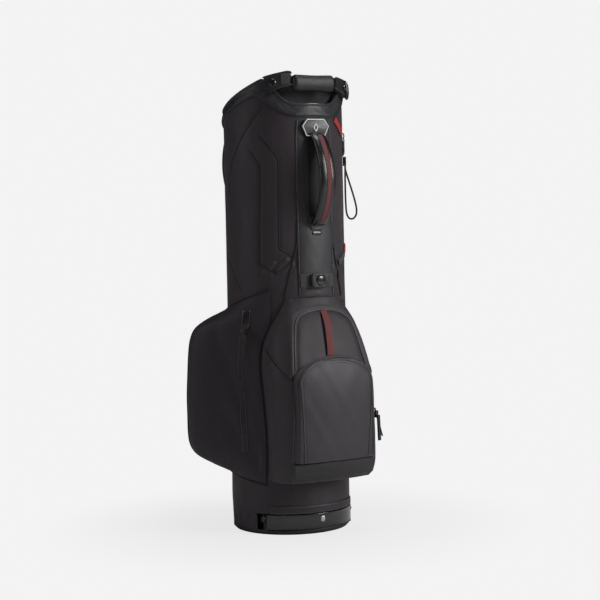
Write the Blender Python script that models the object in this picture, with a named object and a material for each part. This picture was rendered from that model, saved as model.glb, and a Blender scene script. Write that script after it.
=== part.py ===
"""Golf stand bag, standing upright with its legs folded.

Metres, +Z up.  The origin is the centre of the base on the floor.  The spine and the ball pocket
face -Y, the clothes pocket is on -X, the shoulder straps on +X and the two legs on +Y.
An angle round the bag is counted in degrees from the spine, positive towards +X.
"""

import math

import bmesh
import bpy
import numpy as np
from mathutils import Matrix, Vector

# ---------------------------------------------------------------- driving dimensions
GAP = 0.0003              # between pieces that touch
TUBE_R = 0.1155           # outside radius of the bag's tube
TUBE_WALL = 0.004         # nylon over foam
CUFF_Z = 0.8375           # mean height of the cuff's rim

RIM_TILT = 0.045          # rim rises to the spine and falls to the legs
RIM_CROWN = 0.0055
RIM_DIP = 0.067           # depth of the front rim's dip under the grab bar
RIM_DIP_HALF = 52.0
SEAM_DROP = 0.026         # mean height of the cuff's leather apron
SEAM_DIP = 0.0615
SEAM_DIP_HALF = 62.0
APRON_FLARE = 0.0012
FRAME_WALL = 0.0035       # moulded ring inside the cuff
FRAME_DEPTH = 0.0775      # from the mean rim down to the ring's lower edge

BAR_LENGTH = 0.080
BAR_HEIGHT = 0.030
BAR_DEPTH = 0.020
BAR_DROP = 0.0155         # bar centre under the undipped front rim, past half its height
BRACKET_FROM = 21.5
BRACKET_TO = 48.0
BRACKET_HEIGHT = 0.031
BRACKET_DEPTH = 0.0115

GRID_DEPTH = 0.020        # moulded club divider in the mouth
GRID_BAR = 0.008
GRID_DROP = 0.0425        # from the mean rim to the grid's top
GRID_RIM = 0.006
WELL_HALF = 0.035         # the two cross bars lie this far from the middle
WALL_CLOTH = 0.0016       # full-length cloth dividers
STAY_R = 0.0025
STAY_ANGLES = {"front_left": -42.0, "front_right": 42.0, "rear_left": -138.0, "rear_right": 138.0}

PLATE_INSET = 0.0015      # foot plate's edge inside the tube's
SOLE_THICK = 0.003
PLATE_THICK = 0.006
HINGE_Y = -0.058          # axis of the foot plate, along X
HINGE_Z = 0.0305
PLATE_TURN = 20.0         # the foot plate closes by this much when the bag leans on its legs
SKIRT_CLEAR = 0.011       # the skirt starts this far behind the hinge line
PIN_R = 0.003
PIN_HEAD_R = 0.0065
EAR_THICK = 0.004
EAR_R = 0.008
CUP_TOP = 0.039
CUP_WALL = 0.0045
CUP_HALF = 52.0
TRAY_INSET = 0.011        # the tray's side stands inside the tube, clear of the hinge ears
TRAY_WALL = 0.004
TRAY_LIP = 0.032          # height of its side, up to the flange that meets the tube
TRAY_FLANGE = 0.006
TRAY_FLOOR = 0.006
TRIM_TOP = 0.0555
TRIM_THICK = 0.0014

SPINE_HALF = 0.0365       # half width of the spine panel
SPINE_THICK = 0.002
BADGE_W = 0.061           # hexagonal handle plate
BADGE_H = 0.034
BADGE_THICK = 0.003
BADGE_DROP = 0.0635       # from the mean rim to the plate's centre
HANDLE_SPAN = 0.166
HANDLE_REACH = 0.047      # how far the carry handle stands off
HANDLE_WIDTH = 0.028
HANDLE_THICK = 0.009
ANCHOR_H = 0.026
BUCKLE_DROP = 0.108       # from the lower anchor to the buckle
BUCKLE_W = 0.036
BUCKLE_H = 0.027
BUCKLE_THICK = 0.007
BUTTON_R = 0.0095
BUTTON_TRAVEL = 0.002
BUTTON_PROUD = 0.0015
BAND_H = 0.026
BAND_THICK = 0.0018

POCKET_BASE = 0.108       # ball pocket
POCKET_UNDER_BUCKLE = 0.020
POCKET_DEPTH = 0.058
POCKET_HALF = 0.092
POCKET_CROWN = 0.011
POCKET_SIDE_SWELL = 0.013
POCKET_SKIN = 0.003
LOWER_POCKET_HALF = 0.079
LOWER_POCKET_PROUD = 0.008
LOWER_POCKET_SHARE = 0.683  # its top, as a share of the ball pocket's height
HEM_H = 0.034
HEM_THICK = 0.0025
STRIPE_W = 0.014
STRIPE_THICK = 0.0018

CLOTHES_DEPTH = 0.085     # clothes pocket
CLOTHES_BASE = 0.095
CLOTHES_LOW_RAMP = 0.080  # height over which it swells from its lower seam
CLOTHES_HIGH_RAMP = 0.105
CLOTHES_FRONT = 47.0
CLOTHES_REAR = 150.0
CLOTHES_TOP_RISE = 0.020  # its top seam above the ball pocket's top, at the spine
CLOTHES_TOP_FALL = 0.0007
CLOTHES_BASE_RISE = 0.00034
ZIP_ANGLE = -67.0         # its upright zip

SIDE_DEPTH = 0.028        # long pocket under the straps
SIDE_FROM = 66.0
SIDE_TO = 128.0
SIDE_BASE = 0.130
SIDE_TOP = 0.385

STRAP_HALF = 10.5
STRAP_THICK = 0.012
STRAP_BASE = 0.430
STRAP_DROP = 0.070        # from the mean rim to the top of the pads
STRAP_ANGLES = {"front": 92.0, "rear": 121.0}

LEG_R = 0.0068
LEG_X = 0.045
LEG_STAND = 0.0175        # leg axis outside the tube
LEG_DROP = 0.105          # from the mean rim to the leg pivots
LEG_SPLAY = 27.0
LEG_GROUND = 0.130        # folded feet above the floor
FOOT_LENGTH = 0.035
FOOT_R = 0.0095
HEAD_R = 0.009
HEAD_HALF = 0.0066
EAR_GAP = 0.0006
LUG_THICK = 0.003
SPRING_R = 0.0056
SPRING_WIRE = 0.0007
SPRING_TURNS = 4
SPRING_SPACE = 0.0085
HOUSING_LOW = 0.1825      # leg housing, from the mean rim down to its lower edge
HOUSING_HALF = 33.0
HOUSING_PAD = 0.0045
WING_DEPTH = 0.0245
WING_SPAN = 7.0
ROD_R = 0.0025
ROD_X = 0.034
ROD_JOIN = 0.282          # the rod meets the leg this far under the pivot
ROD_STAND = 0.0085
ROD_LOW = 0.012

RING_ANGLE = 46.5
LOOP_R = 0.0018           # cord loop
LOOP_ANGLE = 59.0
LOOP_DROP = 0.1345        # from the mean rim to the clip's lower edge


# ---------------------------------------------------------------- places that follow from them
LEFT, RIGHT = -1, 1
CUFF_R = TUBE_R + APRON_FLARE
SHELL_IN = TUBE_R - TUBE_WALL
FRAME_OUT = SHELL_IN - GAP
FRAME_IN = FRAME_OUT - FRAME_WALL
TRAY_OUT = SHELL_IN - 2 * GAP
TRAY_SIDE = TUBE_R - TRAY_INSET
PLATE_R = TUBE_R - PLATE_INSET
SKIRT_FROM = math.degrees(math.acos(-(HINGE_Y + SKIRT_CLEAR) / TUBE_R))
PLATE_TOP = SOLE_THICK + GAP + PLATE_THICK
SLOPE = math.tan(math.radians(PLATE_TURN + 1.0))
TRAY_LOW = PLATE_TOP + 0.0035
SURFACE = TUBE_R + GAP
BADGE_Z = CUFF_Z - BADGE_DROP
HANDLE_TOP = BADGE_Z - BADGE_H / 2 + 0.003
HANDLE_LOW = HANDLE_TOP - HANDLE_SPAN
ANCHOR_Z = HANDLE_LOW - ANCHOR_H / 2 + 0.012
BUCKLE_Z = ANCHOR_Z - BUCKLE_DROP
POCKET_TOP = BUCKLE_Z - BAND_H / 2 - POCKET_UNDER_BUCKLE
LOWER_POCKET_TOP = POCKET_BASE + LOWER_POCKET_SHARE * (POCKET_TOP - POCKET_BASE)
PIVOT_Z = CUFF_Z - LEG_DROP
LOOP_TOP = CUFF_Z - LOOP_DROP
PIVOT_Y = TUBE_R + LEG_STAND
GRID_TOP = CUFF_Z - GRID_DROP
FRAME_LOW = CUFF_Z - FRAME_DEPTH


def wrapped(angle):
    """The same angle between -180 and 180 degrees."""
    return (angle + 180.0) % 360.0 - 180.0


def dip(angle, depth, half, power):
    """A smooth dip over the spine, `depth` deep at 0 and gone at `half` degrees."""
    a = abs(wrapped(angle))
    if a >= half:
        return 0.0
    return depth * math.cos(math.pi / 2 * (a / half) ** power) ** 2


def rim_plain(angle):
    """Height of the rim without its dip."""
    a = math.radians(angle)
    return CUFF_Z + RIM_TILT * math.cos(a) + RIM_CROWN * math.cos(2 * a)


def rim_z(angle):
    return rim_plain(angle) - dip(angle, RIM_DIP, RIM_DIP_HALF, 2.0)


def seam_z(angle):
    """Height of the seam between the leather apron and the nylon."""
    mean = CUFF_Z - SEAM_DROP + RIM_TILT * math.cos(math.radians(angle))
    return mean - dip(angle, SEAM_DIP, SEAM_DIP_HALF, 1.7)


def tray_z(y):
    """Underside of the tray: flat in front of the hinge, sloped up behind it."""
    return TRAY_LOW + max(0.0, y - HINGE_Y) * SLOPE


def shell_low(angle):
    y = -TUBE_R * math.cos(math.radians(angle))
    return max(CUP_TOP + 0.0015, tray_z(y) + 0.002)


def polar(radius, angle, z):
    a = math.radians(angle)
    return (radius * math.sin(a), -radius * math.cos(a), z)


def eased(table, x):
    """Smooth curve through a short table of (x, value)."""
    xs = [p[0] for p in table]
    ys = [p[1] for p in table]
    if x <= xs[0]:
        return ys[0]
    for i in range(len(xs) - 1):
        if x <= xs[i + 1]:
            before = ys[max(i - 1, 0)]
            after = ys[min(i + 2, len(ys) - 1)]
            span = xs[i + 1] - xs[i]
            slope0 = (ys[i + 1] - before) / (xs[i + 1] - xs[max(i - 1, 0)]) * span
            slope1 = (after - ys[i]) / (xs[min(i + 2, len(xs) - 1)] - xs[i]) * span
            t = (x - xs[i]) / span
            return ((2 * t ** 3 - 3 * t ** 2 + 1) * ys[i] + (t ** 3 - 2 * t ** 2 + t) * slope0
                    + (3 * t ** 2 - 2 * t ** 3) * ys[i + 1] + (t ** 3 - t ** 2) * slope1)
    return ys[-1]


# ---------------------------------------------------------------- building helpers
def clear_scene():
    for obj in list(bpy.data.objects):
        bpy.data.objects.remove(obj, do_unlink=True)


def material(name, color, roughness, metallic=0.0):
    mat = bpy.data.materials.get(name)
    if mat is None:
        mat = bpy.data.materials.new(name)
        mat.use_nodes = True
        shader = mat.node_tree.nodes["Principled BSDF"]
        shader.inputs["Base Color"].default_value = (*color, 1.0)
        shader.inputs["Roughness"].default_value = roughness
        shader.inputs["Metallic"].default_value = metallic
    return mat


def nylon():
    return material("charcoal_nylon", (0.045, 0.041, 0.046), 0.75)


def leather():
    return material("black_leather", (0.028, 0.030, 0.034), 0.45)


def red_web():
    return material("red_webbing", (0.36, 0.03, 0.05), 0.7)


def black_plastic():
    return material("black_plastic", (0.03, 0.03, 0.033), 0.5)


def rubber():
    return material("black_rubber", (0.02, 0.02, 0.02), 0.85)


def webbing():
    return material("black_webbing", (0.02, 0.02, 0.022), 0.8)


def steel():
    return material("bright_steel", (0.7, 0.7, 0.72), 0.3, 1.0)


def aluminium():
    return material("dark_aluminium", (0.12, 0.12, 0.13), 0.35, 1.0)


def finish(name, mesh, mat, sharp=35.0):
    """Make the object, close its normals outwards and shade it."""
    work = bmesh.new()
    work.from_mesh(mesh)
    bmesh.ops.recalc_face_normals(work, faces=work.faces)
    work.to_mesh(mesh)
    work.free()
    mesh.shade_smooth()
    mesh.set_sharp_from_angle(angle=math.radians(sharp))
    obj = bpy.data.objects.new(name, mesh)
    bpy.context.collection.objects.link(obj)
    mesh.materials.append(mat)
    return obj


def slab(name, front, back, mat, closed=False):
    """A solid between two grids of points; `closed` joins the last column to the first."""
    front = np.asarray(front, dtype=float)
    back = np.asarray(back, dtype=float)
    rows, cols = front.shape[:2]
    index = np.arange(rows * cols).reshape(rows, cols)
    under = index + rows * cols
    faces = []
    last = cols if closed else cols - 1
    for j in range(last):
        k = (j + 1) % cols
        for i in range(rows - 1):
            faces.append((index[i, j], index[i, k], index[i + 1, k], index[i + 1, j]))
            faces.append((under[i, j], under[i + 1, j], under[i + 1, k], under[i, k]))
        faces.append((index[0, j], under[0, j], under[0, k], index[0, k]))
        faces.append((index[-1, j], index[-1, k], under[-1, k], under[-1, j]))
    if not closed:
        for i in range(rows - 1):
            faces.append((index[i, 0], index[i + 1, 0], under[i + 1, 0], under[i, 0]))
            faces.append((index[i, -1], under[i, -1], under[i + 1, -1], index[i + 1, -1]))
    mesh = bpy.data.meshes.new(name)
    points = np.concatenate([front.reshape(-1, 3), back.reshape(-1, 3)])
    mesh.from_pydata(points.tolist(), [], [tuple(int(v) for v in f) for f in faces])
    return finish(name, mesh, mat)


def resting(radius, step):
    """Corner radius of a faceted inside that clears a round of `radius` with facets of `step` degrees."""
    return radius / math.cos(math.radians(step / 2))


def ring_wall(name, outer, inner, low, high, mat, span=None, cols=48, rows=3, hugs=False):
    """A wall round the bag.  outer/inner are radii of (angle, t), low/high are heights of angle.

    A wall that hugs the tube has its inside facets moved out until they clear the round tube.
    """
    closed = span is None
    first, last = (-180.0, 180.0) if closed else span
    count = cols if closed else cols + 1
    angles = [first + (last - first) * j / cols for j in range(count)]
    front, back = [], []
    for i in range(rows):
        t = i / (rows - 1)
        front.append([polar(outer(a, t), a, low(a) + (high(a) - low(a)) * t) for a in angles])
        step = (last - first) / cols if hugs else 0.0
        back.append([polar(resting(inner(a, t), step), a, low(a) + (high(a) - low(a)) * t) for a in angles])
    return slab(name, front, back, mat, closed)


def always(value):
    return lambda *_: value


def flat_plate(name, outline, angle, inner, outer, mat, centre_z):
    """A flat plate tangent to the bag; the outline is (across, up) round its centre."""
    normal = Vector(polar(1.0, angle, 0.0))
    across = Vector((math.cos(math.radians(angle)), math.sin(math.radians(angle)), 0.0))
    middle = Vector((0.0, 0.0, centre_z))
    count = len(outline)
    points = []
    for depth in (inner, outer):
        points += [middle + across * s + Vector((0, 0, h)) + normal * depth for s, h in outline]
    faces = [tuple(range(count)), tuple(range(2 * count - 1, count - 1, -1))]
    for i in range(count):
        k = (i + 1) % count
        faces.append((i, i + count, k + count, k))
    mesh = bpy.data.meshes.new(name)
    mesh.from_pydata([tuple(p) for p in points], [], faces)
    return finish(name, mesh, mat)


def rounded(width, height, corner, steps=3):
    """Outline of a rectangle with round corners."""
    points = []
    for quarter, (sx, sy) in enumerate(((1, 1), (-1, 1), (-1, -1), (1, -1))):
        for k in range(steps + 1):
            a = math.radians(90.0 * quarter + 90.0 * k / steps)
            points.append((sx * (width / 2 - corner) + corner * math.cos(a),
                           sy * (height / 2 - corner) + corner * math.sin(a)))
    return points


def turned(name, profile, origin, axis, mat, sides=20):
    """A solid of revolution: profile is (radius, distance along the axis), ends closed."""
    axis = Vector(axis).normalized()
    side = axis.orthogonal().normalized()
    other = axis.cross(side)
    origin = Vector(origin)
    points = []
    for radius, along in profile:
        for k in range(sides):
            a = 2 * math.pi * k / sides
            points.append(origin + axis * along + (side * math.cos(a) + other * math.sin(a)) * radius)
    faces = [tuple(range(sides)), tuple(range(len(points) - 1, len(points) - 1 - sides, -1))]
    for ring in range(len(profile) - 1):
        base = ring * sides
        for k in range(sides):
            m = (k + 1) % sides
            faces.append((base + k, base + m, base + sides + m, base + sides + k))
    mesh = bpy.data.meshes.new(name)
    mesh.from_pydata([tuple(p) for p in points], [], faces)
    return finish(name, mesh, mat)


def rod(name, start, end, radius, mat, sides=10):
    start, end = Vector(start), Vector(end)
    return turned(name, [(radius, 0.0), (radius, (end - start).length)], start, end - start, mat, sides)


def box(name, low, high, mat, turn=None, about=(0, 0, 0)):
    """A box between two corners, turned by `turn` degrees about Z through `about`."""
    mesh = bpy.data.meshes.new(name)
    work = bmesh.new()
    bmesh.ops.create_cube(work, size=1.0)
    size = Vector(high) - Vector(low)
    middle = (Vector(high) + Vector(low)) / 2
    place = Matrix.Translation(middle) @ Matrix.Diagonal((*size, 1.0))
    if turn is not None:
        pivot = Matrix.Translation(Vector(about))
        place = pivot @ Matrix.Rotation(math.radians(turn), 4, "Z") @ pivot.inverted() @ place
    bmesh.ops.transform(work, matrix=place, verts=work.verts)
    work.to_mesh(mesh)
    work.free()
    return finish(name, mesh, mat)


def cord(name, points, radius, mat, resolution=2):
    """A round tube along points."""
    data = bpy.data.curves.new(name, "CURVE")
    data.dimensions = "3D"
    data.bevel_depth = radius
    data.bevel_resolution = resolution
    data.use_fill_caps = True
    data.render_resolution_u = 0
    spline = data.splines.new("POLY")
    spline.points.add(len(points) - 1)
    for point, place in zip(spline.points, points):
        point.co = (*place, 1.0)
    obj = bpy.data.objects.new(name, data)
    bpy.context.collection.objects.link(obj)
    data.materials.append(mat)
    return obj


def combine(target, others, operation="UNION"):
    """Join or cut with an exact Boolean and drop the other shapes."""
    for other in others:
        step = target.modifiers.new("join", "BOOLEAN")
        step.operation = operation
        step.object = other
        step.solver = "EXACT"
    bpy.context.view_layer.update()
    graph = bpy.context.evaluated_depsgraph_get()
    made = bpy.data.meshes.new_from_object(target.evaluated_get(graph))
    target.modifiers.clear()
    target.data = made
    for other in others:
        bpy.data.objects.remove(other, do_unlink=True)
    return target


def pivot(name, place, *pieces):
    """Parent moving pieces to an empty on their joint's axis."""
    empty = bpy.data.objects.new(name, None)
    bpy.context.collection.objects.link(empty)
    empty.location = place
    for piece in pieces:
        piece.parent = empty
        piece.location = -Vector(place)
    return empty


# ---------------------------------------------------------------- tube, base and foot plate
def build_tube():
    ring_wall("body_shell", always(TUBE_R), always(SHELL_IN), shell_low,
              lambda a: seam_z(a) - GAP, nylon(), cols=60, rows=4)
    ring_wall("lower_trim", always(SURFACE + TRIM_THICK), always(SURFACE),
              always(CUP_TOP + 0.0015), always(TRIM_TOP), leather(), span=(-CUP_HALF, CUP_HALF), cols=16,
              rows=2, hugs=True)
    for side, angle in STAY_ANGLES.items():
        reach = SHELL_IN - GAP - STAY_R - 0.001
        foot = tray_z(-reach * math.cos(math.radians(angle))) + TRAY_LIP + TRAY_FLANGE + 0.002
        rod(f"stay_{side}", polar(reach, angle, foot), polar(reach, angle, FRAME_LOW - GAP),
            STAY_R, black_plastic(), 8)


def build_tray():
    """Moulded tray: a sloped floor with a lip, cut for the two hinge pins."""
    side = TRAY_SIDE
    profile = [(0.35 * side, 0.0), (0.7 * side, 0.0), (side, 0.0), (side, TRAY_LIP), (TRAY_OUT, TRAY_LIP),
               (TRAY_OUT, TRAY_LIP + TRAY_FLANGE), (side - TRAY_WALL, TRAY_LIP + TRAY_FLANGE),
               (side - TRAY_WALL, TRAY_FLOOR), (0.7 * side, TRAY_FLOOR), (0.35 * side, TRAY_FLOOR)]
    count = 40
    points, faces = [], []
    for radius, up in profile:
        for k in range(count):
            x, y, _ = polar(radius, 360.0 * k / count, 0)
            points.append((x, y, tray_z(y) + up))
    for ring in range(len(profile) - 1):
        for k in range(count):
            m = (k + 1) % count
            base = ring * count
            faces.append((base + k, base + m, base + count + m, base + count + k))
    low_centre = len(points)
    points += [(0, 0, tray_z(0)), (0, 0, tray_z(0) + TRAY_FLOOR)]
    last = (len(profile) - 1) * count
    for k in range(count):
        m = (k + 1) % count
        faces.append((low_centre, m, k))
        faces.append((low_centre + 1, last + k, last + m))
    mesh = bpy.data.meshes.new("bottom_tray")
    mesh.from_pydata(points, [], faces)
    tray = finish("bottom_tray", mesh, black_plastic())
    reach = TRAY_OUT + 0.01
    bore = rod("bore", (-reach, HINGE_Y, HINGE_Z), (reach, HINGE_Y, HINGE_Z), PIN_R + GAP, steel(), 12)
    return combine(tray, [bore], "DIFFERENCE")


def build_base():
    build_tray()
    ring_wall("heel_cup", always(SURFACE + 0.0005), always(SURFACE + 0.0005 - CUP_WALL),
              always(PLATE_TOP + 0.0012), always(CUP_TOP), black_plastic(),
              span=(-CUP_HALF, CUP_HALF), cols=20, rows=2)
    flat_plate("base_badge", rounded(0.009, 0.011, 0.003), 0.0, SURFACE + 0.0008, SURFACE + 0.0018,
               steel(), (CUP_TOP + PLATE_TOP) / 2 + 0.004)
    ear_x = math.sqrt(TRAY_SIDE ** 2 - (HINGE_Y + EAR_R) ** 2) + 2 * GAP
    start = math.sqrt(TRAY_SIDE ** 2 - HINGE_Y ** 2) - 0.008
    shaft = ear_x + EAR_THICK + GAP - start
    for side, sign in (("left", LEFT), ("right", RIGHT)):
        turned(f"hinge_pin_{side}",
               [(PIN_R, 0.0), (PIN_R, shaft), (PIN_HEAD_R, shaft), (PIN_HEAD_R, shaft + 0.0025),
                (PIN_HEAD_R * 0.6, shaft + 0.0045)],
               (sign * start, HINGE_Y, HINGE_Z), (sign, 0, 0), steel(), 14)
    build_foot_plate(ear_x)
    ring_wall("skirt", lambda a, t: PLATE_R + (TUBE_R - PLATE_R) * t,
              lambda a, t: PLATE_R + (TUBE_R - PLATE_R) * t - 0.0015,
              always(PLATE_TOP + GAP), lambda a: shell_low(a) - GAP, nylon(),
              span=(SKIRT_FROM, 360.0 - SKIRT_FROM), cols=38)


def build_foot_plate(ear_x):
    """Foot plate with its two ears and the two lugs for the rods, on a rubber sole."""
    low = SOLE_THICK + GAP
    plate = turned("foot_plate", [(PLATE_R - 0.001, 0.0), (PLATE_R, 0.001), (PLATE_R, PLATE_THICK)],
                   (0, 0, low), (0, 0, 1), black_plastic(), 60)
    parts = []
    for sign in (LEFT, RIGHT):
        inner, outer = sorted((sign * ear_x, sign * (ear_x + EAR_THICK)))
        parts.append(box("ear", (inner, HINGE_Y - EAR_R, low + 0.001), (outer, HINGE_Y + EAR_R / 2, HINGE_Z),
                         black_plastic()))
        parts.append(rod("ear_top", (inner, HINGE_Y, HINGE_Z), (outer, HINGE_Y, HINGE_Z), EAR_R,
                         black_plastic(), 16))
        near = ROD_X + ROD_R + 4 * GAP
        lug_in, lug_out = sorted((sign * near, sign * (near + LUG_THICK)))
        lug_end = TUBE_R + ROD_STAND + ROD_R
        parts.append(box("lug", (lug_in, PLATE_R - 0.014, low + 0.001),
                         (lug_out, lug_end, PLATE_TOP - 0.0005), black_plastic()))
        parts.append(box("lug", (lug_in, math.sqrt(TUBE_R ** 2 - lug_in ** 2) + 0.0005, low + 0.0015),
                         (lug_out, lug_end - 0.0005, ROD_LOW + ROD_R), black_plastic()))
    combine(plate, parts)
    holes = rod("bores", (-0.2, HINGE_Y, HINGE_Z), (0.2, HINGE_Y, HINGE_Z), PIN_R + GAP, steel(), 14)
    combine(plate, [holes], "DIFFERENCE")
    sole = turned("foot_sole", [(PLATE_R - 0.004, 0.0), (PLATE_R - 0.0025, SOLE_THICK)], (0, 0, 0),
                  (0, 0, 1), rubber(), 60)
    pivot("foot_plate_axis", (0, HINGE_Y, HINGE_Z), plate, sole)


# ---------------------------------------------------------------- cuff, grab bar and dividers
def build_cuff():
    ring_wall("cuff_frame", always(FRAME_OUT), always(FRAME_IN), always(FRAME_LOW),
              lambda a: rim_z(a) - 0.002, black_plastic(), cols=60)
    ring_wall("cuff_apron", lambda a, t: TUBE_R + APRON_FLARE * math.sin(math.pi * min(1.0, t * 1.6)),
              lambda a, t: FRAME_OUT + GAP, lambda a: seam_z(a), rim_z, leather(), cols=60, rows=4)
    bar_z = rim_plain(0.0) - BAR_DROP - BAR_HEIGHT / 2
    reach = CUFF_R + 0.0008
    bar_y = -(reach + BRACKET_DEPTH / 2) * math.cos(math.radians(BRACKET_FROM - 4.0))
    profile = []
    for k in range(9):
        along = -BAR_LENGTH / 2 + BAR_LENGTH * k / 8
        end = min(1.0, (BAR_LENGTH / 2 - abs(along)) / 0.006 + 0.62)
        profile.append((along, end))
    sides = 14
    grid = []
    for along, share in profile:
        ring = []
        for s in range(sides):
            a = 2 * math.pi * s / sides
            ring.append((along, bar_y + share * BAR_DEPTH / 2 * math.cos(a),
                         bar_z + share * BAR_HEIGHT / 2 * math.sin(a)))
        grid.append(ring)
    stacked("grab_bar", grid, leather())
    for side, sign in (("left", LEFT), ("right", RIGHT)):
        span = sorted((sign * BRACKET_FROM, sign * BRACKET_TO))
        ring_wall(f"bar_bracket_{side}",
                  lambda a, t: reach + BRACKET_DEPTH * (1.0 - 0.25 * abs(2 * t - 1) ** 3),
                  always(reach), lambda a: rim_plain(a) + 0.0025 - BRACKET_HEIGHT,
                  lambda a: rim_plain(a) + 0.0025, black_plastic(), span=span, cols=10, rows=5, hugs=True)


def stacked(name, grid, mat):
    """A solid whose cross sections are the rings of a grid, with flat ends."""
    grid = np.asarray(grid, dtype=float)
    rows, cols = grid.shape[:2]
    faces = [tuple(range(cols)), tuple(range(rows * cols - 1, rows * cols - 1 - cols, -1))]
    for i in range(rows - 1):
        for j in range(cols):
            k = (j + 1) % cols
            faces.append((i * cols + j, i * cols + k, (i + 1) * cols + k, (i + 1) * cols + j))
    mesh = bpy.data.meshes.new(name)
    mesh.from_pydata(grid.reshape(-1, 3).tolist(), [], faces)
    return finish(name, mesh, mat)


def build_dividers():
    outside = FRAME_IN - 2 * GAP
    low = GRID_TOP - GRID_DEPTH
    grid = ring_wall("divider_grid", always(outside), always(outside - GRID_RIM), always(low),
                     always(GRID_TOP), black_plastic(), cols=40, rows=2)
    half = GRID_BAR / 2
    reach = outside - GRID_RIM / 2
    bars = [box("bar", (-half, -reach, low + 0.001), (half, reach, GRID_TOP - 0.001), black_plastic())]
    for y in (-WELL_HALF, WELL_HALF):
        cross = math.sqrt(reach ** 2 - WELL_HALF ** 2)
        bars.append(box("bar", (-cross, y - half, low + 0.0015), (cross, y + half, GRID_TOP - 0.0015),
                        black_plastic()))
    combine(grid, bars)
    inside = TRAY_SIDE - TRAY_WALL - GAP
    foot = tray_z(TUBE_R) + TRAY_FLOOR + 0.003
    top = low - GAP
    half = WALL_CLOTH / 2
    cloth = box("divider_cloth", (-half, -inside, foot), (half, inside, top), nylon())
    crosses = []
    for y in (-WELL_HALF, WELL_HALF):
        cross = math.sqrt(inside ** 2 - WELL_HALF ** 2) - 0.001
        crosses.append(box("cross", (-cross, y - half, foot + 0.001),
                           (cross, y + half, top - 0.001), nylon()))
    combine(cloth, crosses)


# ---------------------------------------------------------------- spine, handle and buckle
def build_spine():
    half = math.degrees(SPINE_HALF / TUBE_R)
    face = SURFACE + SPINE_THICK
    ring_wall("spine_panel", always(face), always(SURFACE), always(POCKET_TOP + GAP),
              lambda a: seam_z(a) - GAP, nylon(), span=(-half, half), cols=10, rows=2, hugs=True)
    plate = [(-0.5, 0.08), (-0.335, 0.5), (0.335, 0.5), (0.5, 0.08), (0.335, -0.5), (-0.335, -0.5)]
    seat = face + GAP
    flat_plate("handle_plate", [(s * BADGE_W, h * BADGE_H) for s, h in plate], 0.0, seat, seat + BADGE_THICK,
               black_plastic(), BADGE_Z)
    count = 12
    rings = []
    inner = seat + BADGE_THICK + GAP
    for k in range(count + 1):
        t = k / count
        z = HANDLE_TOP - HANDLE_SPAN * t
        lift = HANDLE_REACH - HANDLE_THICK - BADGE_THICK
        depth = inner + lift * math.sin(math.pi * t) ** 0.8 if 0 < k < count else inner
        slope = math.pi * 0.8 * lift * math.cos(math.pi * t) / HANDLE_SPAN
        lean = math.atan(slope * (0.0 if k in (0, count) else 1.0))
        ring = []
        for u, v in ((-0.5, 0.15), (-0.36, 1.0), (0.36, 1.0), (0.5, 0.15), (0.36, 0.0), (-0.36, 0.0)):
            ring.append((u * HANDLE_WIDTH, -(depth + v * HANDLE_THICK * math.cos(lean)),
                         z + v * HANDLE_THICK * math.sin(lean)))
        rings.append(ring)
    stacked("carry_handle", rings, leather())
    w, h = 0.034, ANCHOR_H
    patch = [(-w / 2, h * 0.15), (-w * 0.36, h / 2), (w * 0.36, h / 2), (w / 2, h * 0.15),
             (w * 0.26, -h / 2), (-w * 0.26, -h / 2)]
    flat_plate("handle_anchor", patch, 0.0, seat, seat + 0.0024, leather(), ANCHOR_Z)
    band = math.degrees((SPINE_HALF - 0.0015) / TUBE_R)
    ring_wall("buckle_band", always(seat + BAND_THICK), always(seat), always(BUCKLE_Z - BAND_H / 2),
              always(BUCKLE_Z + BAND_H / 2), webbing(), span=(-band, band), cols=10, rows=2, hugs=True)
    back = seat + BAND_THICK + GAP
    buckle = flat_plate("buckle_body", rounded(BUCKLE_W, BUCKLE_H, 0.005), 0.0, back, back + BUCKLE_THICK,
                        black_plastic(), BUCKLE_Z)
    well = rod("well", (0, -(back + 0.002), BUCKLE_Z), (0, -(back + 0.02), BUCKLE_Z), BUTTON_R + GAP,
               black_plastic(), 20)
    combine(buckle, [well], "DIFFERENCE")
    base = back + 0.002 + BUTTON_TRAVEL + GAP
    sleeve = BUCKLE_THICK - 0.002 - BUTTON_TRAVEL
    profile = [(BUTTON_R, 0.0), (BUTTON_R, sleeve), (BUTTON_R - 0.001, sleeve + BUTTON_PROUD)]
    button = turned("buckle_button", profile, (0, -base, BUCKLE_Z), (0, -1, 0), black_plastic(), 20)
    pivot("buckle_button_axis", (0, -base, BUCKLE_Z), button)


# ---------------------------------------------------------------- pockets
BULGE = [(0.0, 0.80), (0.08, 0.96), (0.30, 1.0), (0.55, 0.96), (0.72, 0.75), (0.86, 0.46), (0.95, 0.18),
         (1.0, 0.06)]
WIDTH = [(0.0, 0.95), (0.30, 1.0), (0.55, 0.98), (0.72, 0.90), (0.86, 0.77), (0.95, 0.63), (1.0, 0.52)]
SIDES = [(0.0, 52.0), (0.20, 51.0), (0.42, 53.0), (0.62, 56.0), (0.74, 54.0), (0.85, 46.0), (1.0, 31.0)]


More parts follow.
